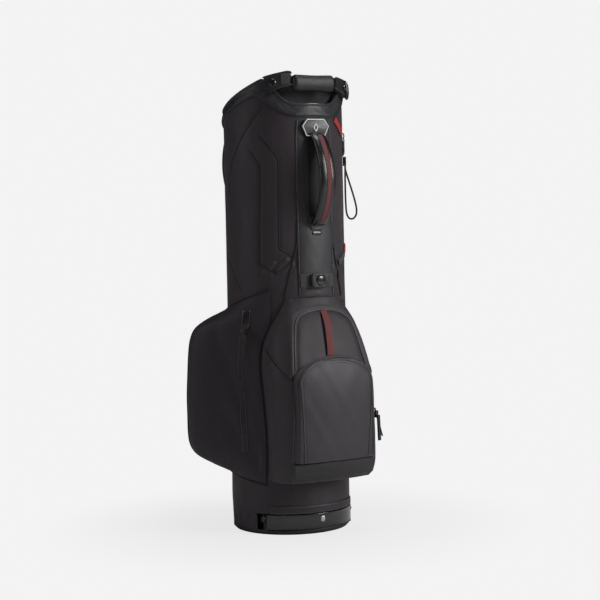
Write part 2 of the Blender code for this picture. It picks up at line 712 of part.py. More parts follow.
def ball_section(z, proud=0.0):
    """Plan outline of the ball pocket at a height, from its left edge to its right edge."""
    t = (z - POCKET_BASE) / (POCKET_TOP - POCKET_BASE)
    bulge = POCKET_DEPTH * eased(BULGE, t)
    half = POCKET_HALF * eased(WIDTH, t)
    share = bulge / POCKET_DEPTH
    face = -(TUBE_R + bulge)
    edge = eased(SIDES, t)
    low = SURFACE + POCKET_SKIN
    foot = Vector(polar(low, edge, z))
    corner = Vector((half, face + POCKET_CROWN, z))
    side = (corner + foot) / 2 + Vector((POCKET_SIDE_SWELL * share, 0, 0))
    near = (corner + side) / 2 + Vector((POCKET_SIDE_SWELL * share * 0.35, 0, 0))
    run = [Vector((0, face, z)), Vector((half * 0.35, face + POCKET_CROWN * 0.08, z)),
           Vector((half * 0.68, face + POCKET_CROWN * 0.36, z)),
           Vector((half * 0.90, face + POCKET_CROWN * 0.70, z)), corner, near, side, (side + foot) / 2, foot]
    placed = []
    for k, point in enumerate(run):
        flat = Vector((point.x, point.y, 0))
        reach = max(flat.length, low) + (proud if k < len(run) - 1 else 0.0)
        flat = flat.normalized() * reach
        placed.append(Vector((flat.x, flat.y, z)))
    left = [Vector((-p.x, p.y, p.z)) for p in reversed(placed[1:])]
    return left + placed


def build_ball_pocket():
    heights = [POCKET_BASE + (POCKET_TOP - POCKET_BASE) * t
               for t in (0.0, 0.04, 0.14, 0.30, 0.45, 0.58, 0.68, 0.78, 0.87, 0.94, 1.0)]
    front = [ball_section(z) for z in heights]
    back = []
    for row in front:
        angles = [math.degrees(math.atan2(p.x, -p.y)) for p in row]
        step = max(b - a for a, b in zip(angles, angles[1:]))
        back.append([polar(resting(SURFACE, step), a, row[0].z) for a in angles])
    slab("ball_pocket", front, back, nylon())
    hem_low = POCKET_BASE + 0.006
    rows = [hem_low + HEM_H * k / 2 for k in range(3)]
    slab("pocket_hem", [ball_section(z, 0.001 + HEM_THICK)[4:-4] for z in rows],
         [ball_section(z, 0.001)[4:-4] for z in rows], nylon())
    low = hem_low + HEM_H + 0.001
    front, back = [], []
    for t in (0.0, 0.15, 0.35, 0.55, 0.70, 0.82, 0.92, 1.0):
        z = low + (LOWER_POCKET_TOP - low) * t
        arch = math.sqrt(max(0.0, 1.0 - max(0.0, (t - 0.55) / 0.47) ** 2))
        half = LOWER_POCKET_HALF * (0.22 + 0.78 * arch)
        row_f, row_b = [], []
        for s in np.linspace(-1.0, 1.0, 11):
            puff = LOWER_POCKET_PROUD * (1.0 - abs(s) ** 4) ** 0.5 * min(1.0, (1.0 - t) * 9 + 0.15)
            row_f.append(on_face(s * half, z, 0.0026 + puff))
            row_b.append(on_face(s * half, z, 0.0014))
        front.append(row_f)
        back.append(row_b)
    slab("accessory_pocket", front, back, nylon())
    top = LOWER_POCKET_TOP
    front, back = [], []
    for k in range(9):
        t = k / 8
        z = top + 0.002 + (POCKET_TOP - 0.022 - top) * t
        lift = 0.0015 + 0.006 * math.sin(math.pi * t)
        front.append([on_face(s * STRIPE_W / 2, z, lift + STRIPE_THICK) for s in (-1, 1)])
        back.append([on_face(s * STRIPE_W / 2, z, lift) for s in (-1, 1)])
    slab("stripe_loop", front, back, red_web())


def on_face(x, z, proud):
    """A point in front of the ball pocket's face."""
    row = ball_section(z)
    for a, b in zip(row, row[1:]):
        if a.x <= x <= b.x:
            share = (x - a.x) / (b.x - a.x)
            spot = a.lerp(b, share)
            return (spot.x, spot.y - proud, z)
    return (x, row[len(row) // 2].y - proud, z)


CLOTHES = [(47.0, 0.0), (60.0, 0.07), (70.0, 0.16), (80.0, 0.29), (90.0, 0.49), (99.0, 0.76), (105.0, 0.94),
           (111.0, 1.0), (117.0, 0.92), (125.0, 0.50), (135.0, 0.22), (145.0, 0.06), (150.0, 0.0)]


def clothes_low(angle):
    return CLOTHES_BASE + CLOTHES_BASE_RISE * (abs(angle) - CLOTHES_FRONT)


def clothes_high(angle):
    return POCKET_TOP + CLOTHES_TOP_RISE - CLOTHES_TOP_FALL * (abs(angle) - CLOTHES_FRONT)


def clothes_radius(angle, t):
    """Outside of the clothes pocket; the wedge is deepest towards its rear corner."""
    height = clothes_high(angle) - clothes_low(angle)
    low_ramp = 1.0 - max(0.0, 1.0 - t * height / CLOTHES_LOW_RAMP) ** 3
    high_ramp = 1.0 - max(0.0, 1.0 - (1.0 - t) * height / CLOTHES_HIGH_RAMP) ** 3
    full = max(0.0, eased(CLOTHES, abs(angle)))
    return SURFACE + 0.003 + (CLOTHES_DEPTH - 0.003) * full * low_ramp * high_ramp


def build_clothes_pocket():
    between = (55, 63, 71, 79, 87, 94, 100, 105, 109, 113, 118, 124, 131, 139)
    angles = [-CLOTHES_FRONT] + [-a for a in between] + [-CLOTHES_REAR]
    angles = [max(a, -CLOTHES_REAR) for a in angles]
    front, back = [], []
    for t in (0.0, 0.03, 0.08, 0.16, 0.30, 0.50, 0.66, 0.78, 0.88, 0.95, 1.0):
        row_f, row_b = [], []
        edges = [clothes_edge(a, t) for a in angles]
        step = max(a - b for a, b in zip(edges, edges[1:]))
        for a, edge in zip(angles, edges):
            z = clothes_low(a) + (clothes_high(a) - clothes_low(a)) * t
            row_f.append(polar(clothes_radius(a, t), edge, z))
            row_b.append(polar(resting(SURFACE, step), edge, z))
        front.append(row_f)
        back.append(row_b)
    slab("clothes_pocket", front, back, nylon())


def clothes_edge(angle, t):
    """Keeps the pocket's front edge clear of the ball pocket's widest stretch."""
    z = clothes_low(angle) + (clothes_high(angle) - clothes_low(angle)) * t
    share = min(max((z - POCKET_BASE) / (POCKET_TOP - POCKET_BASE), 0.0), 1.0)
    wide = eased(SIDES, share) + 2.5
    start = max(wide, CLOTHES_FRONT)
    share_in = max(0.0, 1.0 - (abs(angle) - CLOTHES_FRONT) / 60.0)
    return angle - (start - CLOTHES_FRONT) * share_in


def build_side_pocket():
    def radius(angle, t):
        side = min(1.0, (angle - SIDE_FROM) / 12.0, (SIDE_TO - angle) / 12.0)
        end = min(1.0, t / 0.12, (1.0 - t) / 0.12)
        swell = max(0.0, 1.0 - (1.0 - max(0.0, side)) ** 2) * max(0.0, 1.0 - (1.0 - max(0.0, end)) ** 2)
        return SURFACE + 0.003 + (SIDE_DEPTH - 0.003) * swell
    ring_wall("side_pocket", radius, always(SURFACE), always(SIDE_BASE), always(SIDE_TOP), nylon(),
              span=(SIDE_FROM, SIDE_TO), cols=12, rows=9, hugs=True)


# ---------------------------------------------------------------- zips
def build_zip(name, place, out, pull_length, tilt):
    """Slider and hanging pull; `out` is the way the slider faces, `tilt` leans the pull off the bag."""
    out = Vector(out).normalized()
    across = Vector((0, 0, 1)).cross(out).normalized()
    place = Vector(place)

    def corner(s, d, h):
        return tuple(place + across * s + out * d + Vector((0, 0, h)))

    def plate(label, half_s, d0, d1, h0, h1, lean):
        ring = []
        for h, d in ((h0, d0), (h0, d1), (h1, d1), (h1, d0)):
            drift = math.tan(math.radians(lean)) * -h
            ring.append([corner(-half_s, d + drift, h), corner(half_s, d + drift, h)])
        grid = [[r[0] for r in ring], [r[1] for r in ring]]
        return stacked(label, grid, black_plastic() if label.endswith("slider") else rubber())
    slider = plate(f"{name}_slider", 0.0045, 0.0, 0.0038, -0.006, 0.007, 0.0)
    pull = plate(f"{name}_pull", 0.0038, 0.0045, 0.0078, -pull_length, -0.001, tilt)
    pivot(f"{name}_slider_axis", place, slider)
    pivot(f"{name}_pull_axis", place + out * 0.006 + Vector((0, 0, -0.001)), pull)


def build_zips():
    z = POCKET_BASE + 0.3692 * (POCKET_TOP - POCKET_BASE)
    row = ball_section(z)
    spot = (row[-3] + row[-4]) / 2
    build_zip("ball_zip", spot + Vector((0.0022, -0.0022, 0)), (0.85, -0.53, 0), 0.056, 14.0)
    z = POCKET_BASE + 0.3430 * (POCKET_TOP - POCKET_BASE)
    row = ball_section(z)
    side = row[-5]
    place = Vector((side.x, side.y, z)) + Vector((0.0012, -0.0028, 0))
    build_zip("accessory_zip", place, (0.42, -0.9, 0), 0.050, 2.0)
    t = 0.80
    z = clothes_low(ZIP_ANGLE) + (clothes_high(ZIP_ANGLE) - clothes_low(ZIP_ANGLE)) * t
    reach = clothes_radius(ZIP_ANGLE, t) + 0.004
    build_zip("clothes_zip", polar(reach, ZIP_ANGLE, z), polar(1.0, ZIP_ANGLE + 8, 0), 0.038, 0.0)


# ---------------------------------------------------------------- straps, ring and cord loop
def build_straps():
    top = CUFF_Z - STRAP_DROP
    for side, centre in STRAP_ANGLES.items():
        def radius(angle, t, centre=centre):
            across = 1.0 - abs((angle - centre) / STRAP_HALF) ** 4
            along = min(1.0, t / 0.08 + 0.3, (1.0 - t) / 0.08 + 0.3)
            return SURFACE + GAP + STRAP_THICK * (0.35 + 0.65 * max(0.0, across) ** 0.5 * along)
        ring_wall(f"shoulder_strap_{side}", radius, always(SURFACE + GAP), always(STRAP_BASE), always(top),
                  webbing(), span=(centre - STRAP_HALF, centre + STRAP_HALF), cols=6, rows=8, hugs=True)
    low, high = top - 0.002, seam_z(30.0) - 0.008
    ribbon("strap_tab", [(27.5, high), (35.0, (low + high) / 2 + 0.002), (44.0, low)], 0.012, red_web())
    ring_z = low - 0.0075
    centre = Vector(polar(SURFACE + 0.0036, RING_ANGLE, ring_z))
    across = Vector((math.cos(math.radians(RING_ANGLE)), math.sin(math.radians(RING_ANGLE)), 0))
    loop = []
    for k in range(20):
        a = 2 * math.pi * k / 20
        loop.append(centre + across * 0.0095 * math.cos(a) + Vector((0, 0, 0.0072 * math.sin(a))))
    torus("strap_ring", loop, 0.0013, Vector(polar(1.0, RING_ANGLE, 0)), steel())
    pivot("strap_ring_axis", centre + Vector((0, 0, 0.0072)), bpy.data.objects["strap_ring"])
    flap_top = ring_z - 0.0092
    ribbon("strap_flap", [(52.0, flap_top), (62.0, flap_top - 0.012), (77.0, flap_top - 0.018)], 0.022,
           webbing(), 0.004)
    ribbon("lower_tab", [(53.0, STRAP_BASE + 0.120), (48.0, STRAP_BASE + 0.106)], 0.012, red_web())
    ribbon("lower_webbing", [(47.0, STRAP_BASE + 0.103), (30.0, STRAP_BASE + 0.086)], 0.012, webbing())


def ribbon(name, route, width, mat, thick=0.0018):
    """A strip of webbing that runs over the tube through (angle, height) points."""
    steps = 4
    centres = []
    for (a0, z0), (a1, z1) in zip(route, route[1:]):
        for k in range(steps):
            centres.append((a0 + (a1 - a0) * k / steps, z0 + (z1 - z0) * k / steps))
    centres.append(route[-1])
    front, back = [], []
    for i, (a, z) in enumerate(centres):
        a1, z1 = centres[min(i + 1, len(centres) - 1)]
        a0, z0 = centres[max(i - 1, 0)]
        run = Vector((math.radians(a1 - a0) * TUBE_R, z1 - z0)).normalized()
        row_f, row_b = [], []
        for s in (-0.5, 0.0, 0.5):
            da = math.degrees(-run.y * s * width / TUBE_R)
            dz = run.x * s * width
            row_f.append(polar(SURFACE + GAP + thick, a + da, z + dz))
            row_b.append(polar(SURFACE + GAP, a + da, z + dz))
        front.append(row_f)
        back.append(row_b)
    return slab(name, front, back, mat)


def torus(name, loop, radius, normal, mat, sides=6):
    """A closed ring of wire along a loop that lies square to `normal`."""
    count = len(loop)
    centre = sum(loop, Vector()) / count
    points, faces = [], []
    for spot in loop:
        out = (spot - centre).normalized()
        for s in range(sides):
            a = 2 * math.pi * s / sides
            points.append(spot + out * radius * math.cos(a) + normal * radius * math.sin(a))
    for k in range(count):
        m = (k + 1) % count
        for s in range(sides):
            q = (s + 1) % sides
            faces.append((k * sides + s, k * sides + q, m * sides + q, m * sides + s))
    mesh = bpy.data.meshes.new(name)
    mesh.from_pydata([tuple(p) for p in points], [], faces)
    return finish(name, mesh, mat)


# distance off the tube, place across the loop, height above the clip's lower edge
LOOP_ROUTE = [(0.0049, 0.0025, 0.0000), (0.0050, 0.0026, -0.0040), (0.0070, 0.0034, -0.0130),
              (0.0110, 0.0040, -0.0265), (0.0155, 0.0042, -0.0415), (0.0200, 0.0040, -0.0570),
              (0.0237, 0.0034, -0.0720), (0.0257, 0.0024, -0.0850), (0.0245, 0.0010, -0.0955),
              (0.0197, 0.0000, -0.1020), (0.0137, -0.0008, -0.1032), (0.0085, -0.0014, -0.0990),
              (0.0057, -0.0020, -0.0900), (0.0047, -0.0024, -0.0750), (0.0043, -0.0026, -0.0550),
              (0.0043, -0.0026, -0.0350), (0.0045, -0.0026, -0.0170), (0.0049, -0.0025, -0.0040),
              (0.0049, -0.0025, 0.0000)]


def smooth_route(route, step):
    """Catmull-Rom curve through the route's points, with a point about every `step`."""
    points = [Vector(p) for p in route]
    out = [points[0]]
    for i in range(len(points) - 1):
        before = points[max(i - 1, 0)]
        after = points[min(i + 2, len(points) - 1)]
        a, b = points[i], points[i + 1]
        count = max(1, round((b - a).length / step))
        for k in range(1, count + 1):
            t = k / count
            out.append(0.5 * ((2 * a) + (b - before) * t + (2 * before - 5 * a + 4 * b - after) * t ** 2
                              + (3 * a - before - 3 * b + after) * t ** 3))
    return out


def build_loop():
    out = Vector(polar(1.0, LOOP_ANGLE, 0))
    across = Vector((math.cos(math.radians(LOOP_ANGLE)), math.sin(math.radians(LOOP_ANGLE)), 0))
    route = [out * (TUBE_R + r) + across * s + Vector((0, 0, LOOP_TOP + z)) for r, s, z in LOOP_ROUTE]
    bottom = LOOP_TOP + GAP
    flat_plate("cord_clip", rounded(0.012, 0.018, 0.003), LOOP_ANGLE, SURFACE + GAP, SURFACE + 0.0066,
               black_plastic(), bottom + 0.009)
    cord("loop_cord", smooth_route(route, 0.008), LOOP_R, webbing())


# ---------------------------------------------------------------- legs, housing and rods
def build_legs():
    def pad(angle, t):
        edge = HOUSING_HALF - abs(wrapped(angle - 180.0))
        wing = max(0.0, min(1.0, (WING_SPAN - edge) / 1.5 + 0.5)) if edge < WING_SPAN else 0.0
        round_end = math.sin(math.pi * min(max(t, 0.0), 1.0)) ** 0.35 if 0 < t < 1 else 0.0
        return SURFACE + HOUSING_PAD + (WING_DEPTH - HOUSING_PAD) * wing * round_end
    housing = ring_wall("leg_housing", pad, always(SURFACE), always(CUFF_Z - HOUSING_LOW),
                        lambda a: seam_z(a) - 0.002, black_plastic(),
                        span=(180 - HOUSING_HALF, 180 + HOUSING_HALF), cols=22, rows=6, hugs=True)
    ears = []
    for side, sign in (("left", LEFT), ("right", RIGHT)):
        place = Vector((sign * LEG_X, PIVOT_Y, PIVOT_Z))
        axis = Vector((math.cos(math.radians(LEG_SPLAY)), -sign * math.sin(math.radians(LEG_SPLAY)), 0))
        inward = -sign * axis
        outside = -(HEAD_HALF + EAR_GAP + LUG_THICK)
        inside = HEAD_HALF + EAR_GAP + SPRING_SPACE
        build_leg(side, sign, place, axis)
        rod(f"pivot_pin_{side}", place + inward * (outside - 0.0015),
            place + inward * (inside + LUG_THICK + 0.0015), PIN_R, steel(), 12)
        coil(f"leg_spring_{side}", place + inward * (HEAD_HALF + EAR_GAP + 0.0010), inward)
        for start in (outside, inside):
            ears.append(ear_box(place, inward, start, sign))
    combine(housing, ears)
    for side, sign in (("left", LEFT), ("right", RIGHT)):
        place = Vector((sign * LEG_X, PIVOT_Y, PIVOT_Z))
        axis = Vector((math.cos(math.radians(LEG_SPLAY)), -sign * math.sin(math.radians(LEG_SPLAY)), 0))
        bore = rod("bore", place - axis * 0.026, place + axis * 0.026, PIN_R + GAP, steel(), 12)
        combine(housing, [bore], "DIFFERENCE")


def ear_box(place, along, start, sign):
    """One ear of a leg's hinge, from the housing's pad out past the pin."""
    outward = Vector((0, 0, 1)).cross(along) * (1 if (Vector((0, 0, 1)).cross(along)).y > 0 else -1)
    rings = []
    for d in (start, start + LUG_THICK):
        middle = place + along * d
        back = middle - outward * (middle.y - TUBE_R * 0.82) / outward.y
        ring = []
        nose = middle + outward * 0.0065
        for base, up in ((back, -0.0085), (nose, -0.0065), (nose, 0.0065), (back, 0.0085)):
            ring.append(tuple(base + Vector((0, 0, up))))
        rings.append(ring)
    ear = stacked("ear", rings, black_plastic())
    shell = turned("inside", [(TUBE_R + 0.0022, 0.0), (TUBE_R + 0.0022, 0.06)],
                   (0, 0, place.z - 0.03), (0, 0, 1), black_plastic(), 60)
    return combine(ear, [shell], "DIFFERENCE")


def build_leg(side, sign, place, axis):
    foot_top = LEG_GROUND + FOOT_LENGTH
    leg = rod(f"leg_{side}", place - Vector((0, 0, 0.002)), (place.x, place.y, foot_top + GAP), LEG_R,
              aluminium(), 14)
    head = rod("head", place - axis * HEAD_HALF, place + axis * HEAD_HALF, HEAD_R, black_plastic(), 18)
    join = Vector((place.x, place.y, place.z - ROD_JOIN))
    stub = rod("stub", join, (sign * (ROD_X + ROD_R + 0.0013), join.y, join.z), 0.0022, steel(), 8)
    combine(leg, [head, stub])
    bore = rod("bore", place - axis * 0.02, place + axis * 0.02, PIN_R + GAP, steel(), 12)
    combine(leg, [bore], "DIFFERENCE")
    profile = [(FOOT_R * 0.55, 0.0), (FOOT_R, 0.006), (FOOT_R, 0.024), (FOOT_R * 0.82, FOOT_LENGTH)]
    foot = turned(f"leg_foot_{side}", profile, (place.x, place.y, LEG_GROUND), (0, 0, 1), rubber(), 14)
    pivot(f"leg_{side}_axis", place, leg, foot)
    low = Vector((sign * ROD_X, TUBE_R + ROD_STAND, ROD_LOW))
    link = rod(f"actuator_rod_{side}", low, (sign * ROD_X, join.y, join.z + 0.004), ROD_R, steel(), 8)
    pivot(f"rod_{side}_axis", low, link)


def coil(name, start, along):
    """Torsion spring wound round the leg's pin."""
    along = Vector(along).normalized()
    side = Vector((0, 0, 1))
    other = along.cross(side)
    turns = SPRING_TURNS
    rise = SPRING_SPACE - 0.0024
    points = []
    for k in range(turns * 9 + 1):
        a = 2 * math.pi * k / 9
        ring = (side * math.cos(a) + other * math.sin(a)) * SPRING_R
        points.append(start + along * rise * k / (turns * 9) + ring)
    cord(name, points, SPRING_WIRE, steel(), 1)


# ---------------------------------------------------------------- the bag
def build():
    clear_scene()
    build_tube()
    build_base()
    build_cuff()
    build_dividers()
    build_spine()
    build_ball_pocket()
    build_clothes_pocket()
    build_side_pocket()
    build_zips()
    build_straps()
    build_loop()
    build_legs()


build()
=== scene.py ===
"""A black golf stand bag: nylon tube, leather cuff, grab bar, carry handle and three zipped pockets.

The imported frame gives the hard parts; the soft ones are built round it here, in metres, front towards -Y.
"""

import math

import bpy
import numpy as np
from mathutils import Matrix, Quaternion, Vector


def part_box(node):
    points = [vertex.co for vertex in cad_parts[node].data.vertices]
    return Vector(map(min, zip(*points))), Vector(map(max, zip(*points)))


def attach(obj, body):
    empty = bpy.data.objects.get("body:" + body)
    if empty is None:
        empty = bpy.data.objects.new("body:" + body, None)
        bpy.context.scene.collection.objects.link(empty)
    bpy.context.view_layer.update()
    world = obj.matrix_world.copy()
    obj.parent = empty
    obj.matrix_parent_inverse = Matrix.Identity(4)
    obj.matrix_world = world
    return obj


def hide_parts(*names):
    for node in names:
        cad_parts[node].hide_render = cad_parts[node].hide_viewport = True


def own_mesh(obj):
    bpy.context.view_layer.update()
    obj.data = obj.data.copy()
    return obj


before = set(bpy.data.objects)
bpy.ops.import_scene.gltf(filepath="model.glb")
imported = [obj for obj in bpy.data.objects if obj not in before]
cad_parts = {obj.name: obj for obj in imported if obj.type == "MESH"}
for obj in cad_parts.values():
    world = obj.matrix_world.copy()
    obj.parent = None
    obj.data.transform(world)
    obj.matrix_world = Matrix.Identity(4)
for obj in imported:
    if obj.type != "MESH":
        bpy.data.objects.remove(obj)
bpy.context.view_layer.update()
scene = bpy.context.scene

# ---------------------------------------------------------------- camera
# A long lens at waist height, a third of a right angle to the left of the bag's front,
# rolled by a degree so that the bag leans as it stands in the studio.
CAMERA_PLACE = Vector((-1.64812, -2.74294, 0.62))
CAMERA_AIM = Vector((0.0200, -0.01784, 0.44323))
camera = bpy.data.objects.new("camera", bpy.data.cameras.new("camera"))
camera.data.lens = 97.96
camera.data.sensor_width = 36.0
camera.location = CAMERA_PLACE
camera.rotation_mode = "QUATERNION"
camera.rotation_quaternion = ((CAMERA_AIM - CAMERA_PLACE).to_track_quat("-Z", "Y")
                              @ Quaternion((0, 0, 1), math.radians(-1.302)))
scene.collection.objects.link(camera)
scene.camera = camera
scene.view_settings.view_transform = "Standard"

# ---------------------------------------------------------------- studio
# A pale sweep with no horizon, one large soft box to the right, a strip to the left
# and a top panel; the air round the bag is dim, so that the black cloth stays black.
PAPER = (0.896, 0.896, 0.896, 1.0)
LIGHTS = {  # name: (place, aim, width, height, watts)
    "soft_box": ((1.75, -2.75, 1.75), (0.0, -0.08, 0.40), 1.1, 1.7, 74.0),
    "left_strip": ((-2.3, 0.75, 1.3), (0.0, 0.0, 0.50), 0.5, 1.6, 8.5),
    "front_panel": ((-1.6, -2.3, 2.5), (0.0, 0.0, 0.45), 1.2, 0.8, 4.0),
    "top_panel": ((0.2, -0.3, 2.6), (0.0, 0.0, 0.40), 1.2, 1.2, 16.0),
}


def add_node(tree, kind, inputs=None, **settings):
    """One shader node; an input is given as a value or as the socket that feeds it."""
    node = tree.nodes.new(kind)
    for name, value in settings.items():
        setattr(node, name, value)
    for name, value in (inputs or {}).items():
        if isinstance(value, bpy.types.NodeSocket):
            tree.links.new(value, node.inputs[name])
        else:
            node.inputs[name].default_value = value
    return node


def hang_lights():
    """Square-on area lights, each turned from its place towards its aim."""
    for name, (place, aim, width, height, watts) in LIGHTS.items():
        lamp = bpy.data.lights.new(name, "AREA")
        lamp.shape = "RECTANGLE"
        lamp.size, lamp.size_y, lamp.energy = width, height, watts
        holder = bpy.data.objects.new(name, lamp)
        holder.location = place
        holder.rotation_mode = "QUATERNION"
        holder.rotation_quaternion = (Vector(aim) - Vector(place)).to_track_quat("-Z", "Y")
        scene.collection.objects.link(holder)


def paint_air():
    """Paper-white to the camera, dim grey to everything that the air lights."""
    world = bpy.data.worlds.new("studio_air")
    world.use_nodes = True
    tree = world.node_tree
    seen = tree.nodes["Background"]
    seen.inputs["Color"].default_value = PAPER
    dim = add_node(tree, "ShaderNodeBackground", {"Color": (0.032, 0.030, 0.033, 1.0)})
    ray = add_node(tree, "ShaderNodeLightPath")
    mixed = add_node(tree, "ShaderNodeMixShader", {0: ray.outputs["Is Camera Ray"], 1: dim.outputs[0],
                                                   2: seen.outputs[0]})
    tree.links.new(mixed.outputs[0], tree.nodes["World Output"].inputs["Surface"])
    scene.world = world


def lay_paper():
    """A flat disc of paper: lit where the bag stands, and fading into the air's own white further out."""
    ring = np.linspace(0, 2 * np.pi, 96, endpoint=False)
    disc = np.stack([12 * np.cos(ring), 12 * np.sin(ring), np.full(96, -0.0002)], axis=1)
    mesh = bpy.data.meshes.new("paper")
    mesh.from_pydata(disc.tolist(), [], [list(range(96))])
    paper = bpy.data.objects.new("paper", mesh)
    scene.collection.objects.link(paper)
    material = bpy.data.materials.new("paper")
    material.use_nodes = True
    tree = material.node_tree
    tree.nodes.remove(tree.nodes["Principled BSDF"])
    place = add_node(tree, "ShaderNodeTexCoord")
    distance = add_node(tree, "ShaderNodeVectorMath", {0: place.outputs["Object"]}, operation="LENGTH")
    far = add_node(tree, "ShaderNodeMapRange", {"Value": distance.outputs["Value"], "From Min": 0.16,
                                                "From Max": 0.55}, interpolation_type="SMOOTHSTEP")
    grain = add_node(tree, "ShaderNodeTexNoise", {"Vector": place.outputs["Object"], "Scale": 3.0})
    tint = add_node(tree, "ShaderNodeMix", {0: grain.outputs["Fac"], 6: (0.80, 0.80, 0.80, 1.0),
                                            7: (0.86, 0.86, 0.86, 1.0)}, data_type="RGBA")
    lit = add_node(tree, "ShaderNodeBsdfDiffuse", {"Color": tint.outputs[2]})
    glow = add_node(tree, "ShaderNodeEmission", {"Color": PAPER})
    shade = add_node(tree, "ShaderNodeMapRange", {"Value": far.outputs["Result"], "To Min": 0.86})
    near = add_node(tree, "ShaderNodeMixShader", {0: shade.outputs["Result"], 1: lit.outputs[0],
                                                  2: glow.outputs[0]})
    ray = add_node(tree, "ShaderNodeLightPath")
    both = add_node(tree, "ShaderNodeMixShader", {0: ray.outputs["Is Camera Ray"], 1: lit.outputs[0],
                                                  2: near.outputs[0]})
    tree.links.new(both.outputs[0], tree.nodes["Material Output"].inputs["Surface"])
    mesh.materials.append(material)


hang_lights()
paint_air()
lay_paper()

# ---------------------------------------------------------------- cord loop
# A limp round cord, 3.6 mm thick, that hangs in a loop from the clip at the right of the cuff
# and goes back into it; a braided polyester sleeve.
LOOP_ANGLE = 59.0
LOOP_SIZE = 0.0036
LOOP_ROUTE = [  # distance from the tube's axis, place across the loop, height
    (0.1204, 0.0025, 0.7030), (0.1205, 0.0026, 0.6990), (0.1225, 0.0034, 0.6900), (0.1265, 0.0040, 0.6765),
    (0.1310, 0.0042, 0.6615), (0.1355, 0.0040, 0.6460), (0.1392, 0.0034, 0.6310), (0.1412, 0.0024, 0.6180),
    (0.1400, 0.0010, 0.6075), (0.1352, 0.0000, 0.6010), (0.1292, -0.0008, 0.5998), (0.1240, -0.0014,
                                                                                    0.6040),
    (0.1212, -0.0020, 0.6130), (0.1202, -0.0024, 0.6280), (0.1198, -0.0026, 0.6480),
    (0.1198, -0.0026, 0.6680), (0.1200, -0.0026, 0.6860), (0.1204, -0.0025, 0.6990),
    (0.1204, -0.0025, 0.7030)]


def polar(radius, angle, height):
    """Points round the upright tube: the angle is in degrees from the front, positive to the right."""
    turn = np.radians(angle)
    parts = np.broadcast_arrays(radius * np.sin(turn), -radius * np.cos(turn), height)
    return np.stack(parts, axis=-1).astype(float)


def spline_through(points, count):
    """Catmull-Rom curve through the rows of points: each span is the cubic through its two ends whose
    slopes are half the difference of the neighbours, read at evenly spaced shares of the row number."""
    points = np.asarray(points, float)
    last = points.shape[-2] - 1
    at = np.linspace(0, last, count)
    span = np.minimum(at.astype(int), last - 1)
    f = (at - span)[:, None]
    a, b, c, d = (points[..., np.clip(span + k, 0, last), :] for k in (-1, 0, 1, 2))
    return 0.5 * (2 * b + (c - a) * f + (2 * a - 5 * b + 4 * c - d) * f ** 2
                  + (3 * b - 3 * c + d - a) * f ** 3)


def even_steps(path, step):
    """The same line with its points a step apart, measured along it."""
    length = np.concatenate([[0.0], np.cumsum(np.linalg.norm(np.diff(path, axis=0), axis=1))])
    at = np.linspace(0, length[-1], max(3, int(round(length[-1] / step)) + 1))
    return np.stack([np.interp(at, length, path[:, k]) for k in range(3)], axis=1)


def rounded(wave, power):
    """A sine or cosine raised to a power with its sign kept: the side of a superellipse."""
    return np.sign(wave) * np.abs(wave) ** power


def front_and_back(front, back):
    """Rows of a panel as closed rings: along its front and home along its back."""
    return np.concatenate([front, back[:, ::-1]], axis=1)


def make_piece(name, points, faces, uv, body, material, crease=40.0):
    """Puts whole arrays into one mesh, turns it outwards by the sign of its volume, and hangs it on a
    body."""
    corners = points[faces]
    volume = np.einsum("ij,ij->i", corners[:, 0], np.cross(corners[:, 1], corners[:, 2])).sum()
    volume += np.einsum("ij,ij->i", corners[:, 0], np.cross(corners[:, 2], corners[:, 3])).sum()
    if volume < 0:
        faces, uv = faces[:, ::-1], uv[:, ::-1]
    mesh = bpy.data.meshes.new(name)
    mesh.from_pydata(points.tolist(), [], faces.tolist())
    layer = mesh.uv_layers.new(name="UVMap")
    layer.uv.foreach_set("vector", np.ascontiguousarray(uv, np.float32).ravel())
    mesh.polygons.foreach_set("use_smooth", np.ones(len(faces), bool))
    mesh.set_sharp_from_angle(angle=math.radians(crease))
    mesh.materials.append(material)
    piece = bpy.data.objects.new(name, mesh)
    scene.collection.objects.link(piece)
    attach(piece, body)
    return piece


def skin_arrays(rings, round_trip=False):
    """Quads between neighbouring rows of a grid whose rows are closed rings. The end rows are closed by
    ladders of quads from one half of the ring to the other, or the last row joins the first.
    The UV map is in metres: along the ring, and along the rows."""
    rows, across = rings.shape[:2]
    index = np.arange(rows * across).reshape(rows, across)
    wrapped = np.concatenate([rings, rings[:, :1]], axis=1)
    u = np.concatenate([np.zeros((rows, 1)), np.cumsum(np.linalg.norm(np.diff(wrapped, axis=1), axis=2),
                                                       axis=1)], axis=1)
    step = np.linalg.norm(np.diff(rings, axis=0), axis=2).mean(axis=1)
    v = np.concatenate([[0.0], np.cumsum(step)])
    if round_trip:
        lower, upper = index, np.roll(index, -1, axis=0)
        v = np.append(v, v[-1] + np.linalg.norm(rings[0] - rings[-1], axis=1).mean())
        u = np.concatenate([u, u[:1]], axis=0)
    else:
        lower, upper = index[:-1], index[1:]
    v = np.broadcast_to(v[:, None], u.shape)
    quads = np.stack([lower, np.roll(lower, -1, 1), np.roll(upper, -1, 1), upper], axis=-1).reshape(-1, 4)
    grid = np.stack([u, v], axis=-1)
    uv = np.stack([grid[:-1, :-1], grid[:-1, 1:], grid[1:, 1:], grid[1:, :-1]], axis=2).reshape(-1, 4, 2)
    if not round_trip:
        k = np.arange(across // 2 - 1)
        ladder = np.stack([k, k + 1, across - 2 - k, across - 1 - k], axis=-1)
        low, high = ladder[:, ::-1], ladder + (rows - 1) * across
        ends = np.concatenate([low, high])
        quads = np.concatenate([quads, ends])
        uv = np.concatenate([uv, rings.reshape(-1, 3)[ends][..., :2]])
    return rings.reshape(-1, 3), quads, uv


def closed_skin(name, rings, body, material, round_trip=False, crease=40.0):
    points, quads, uv = skin_arrays(rings, round_trip)
    return make_piece(name, points, quads, uv, body, material, crease)


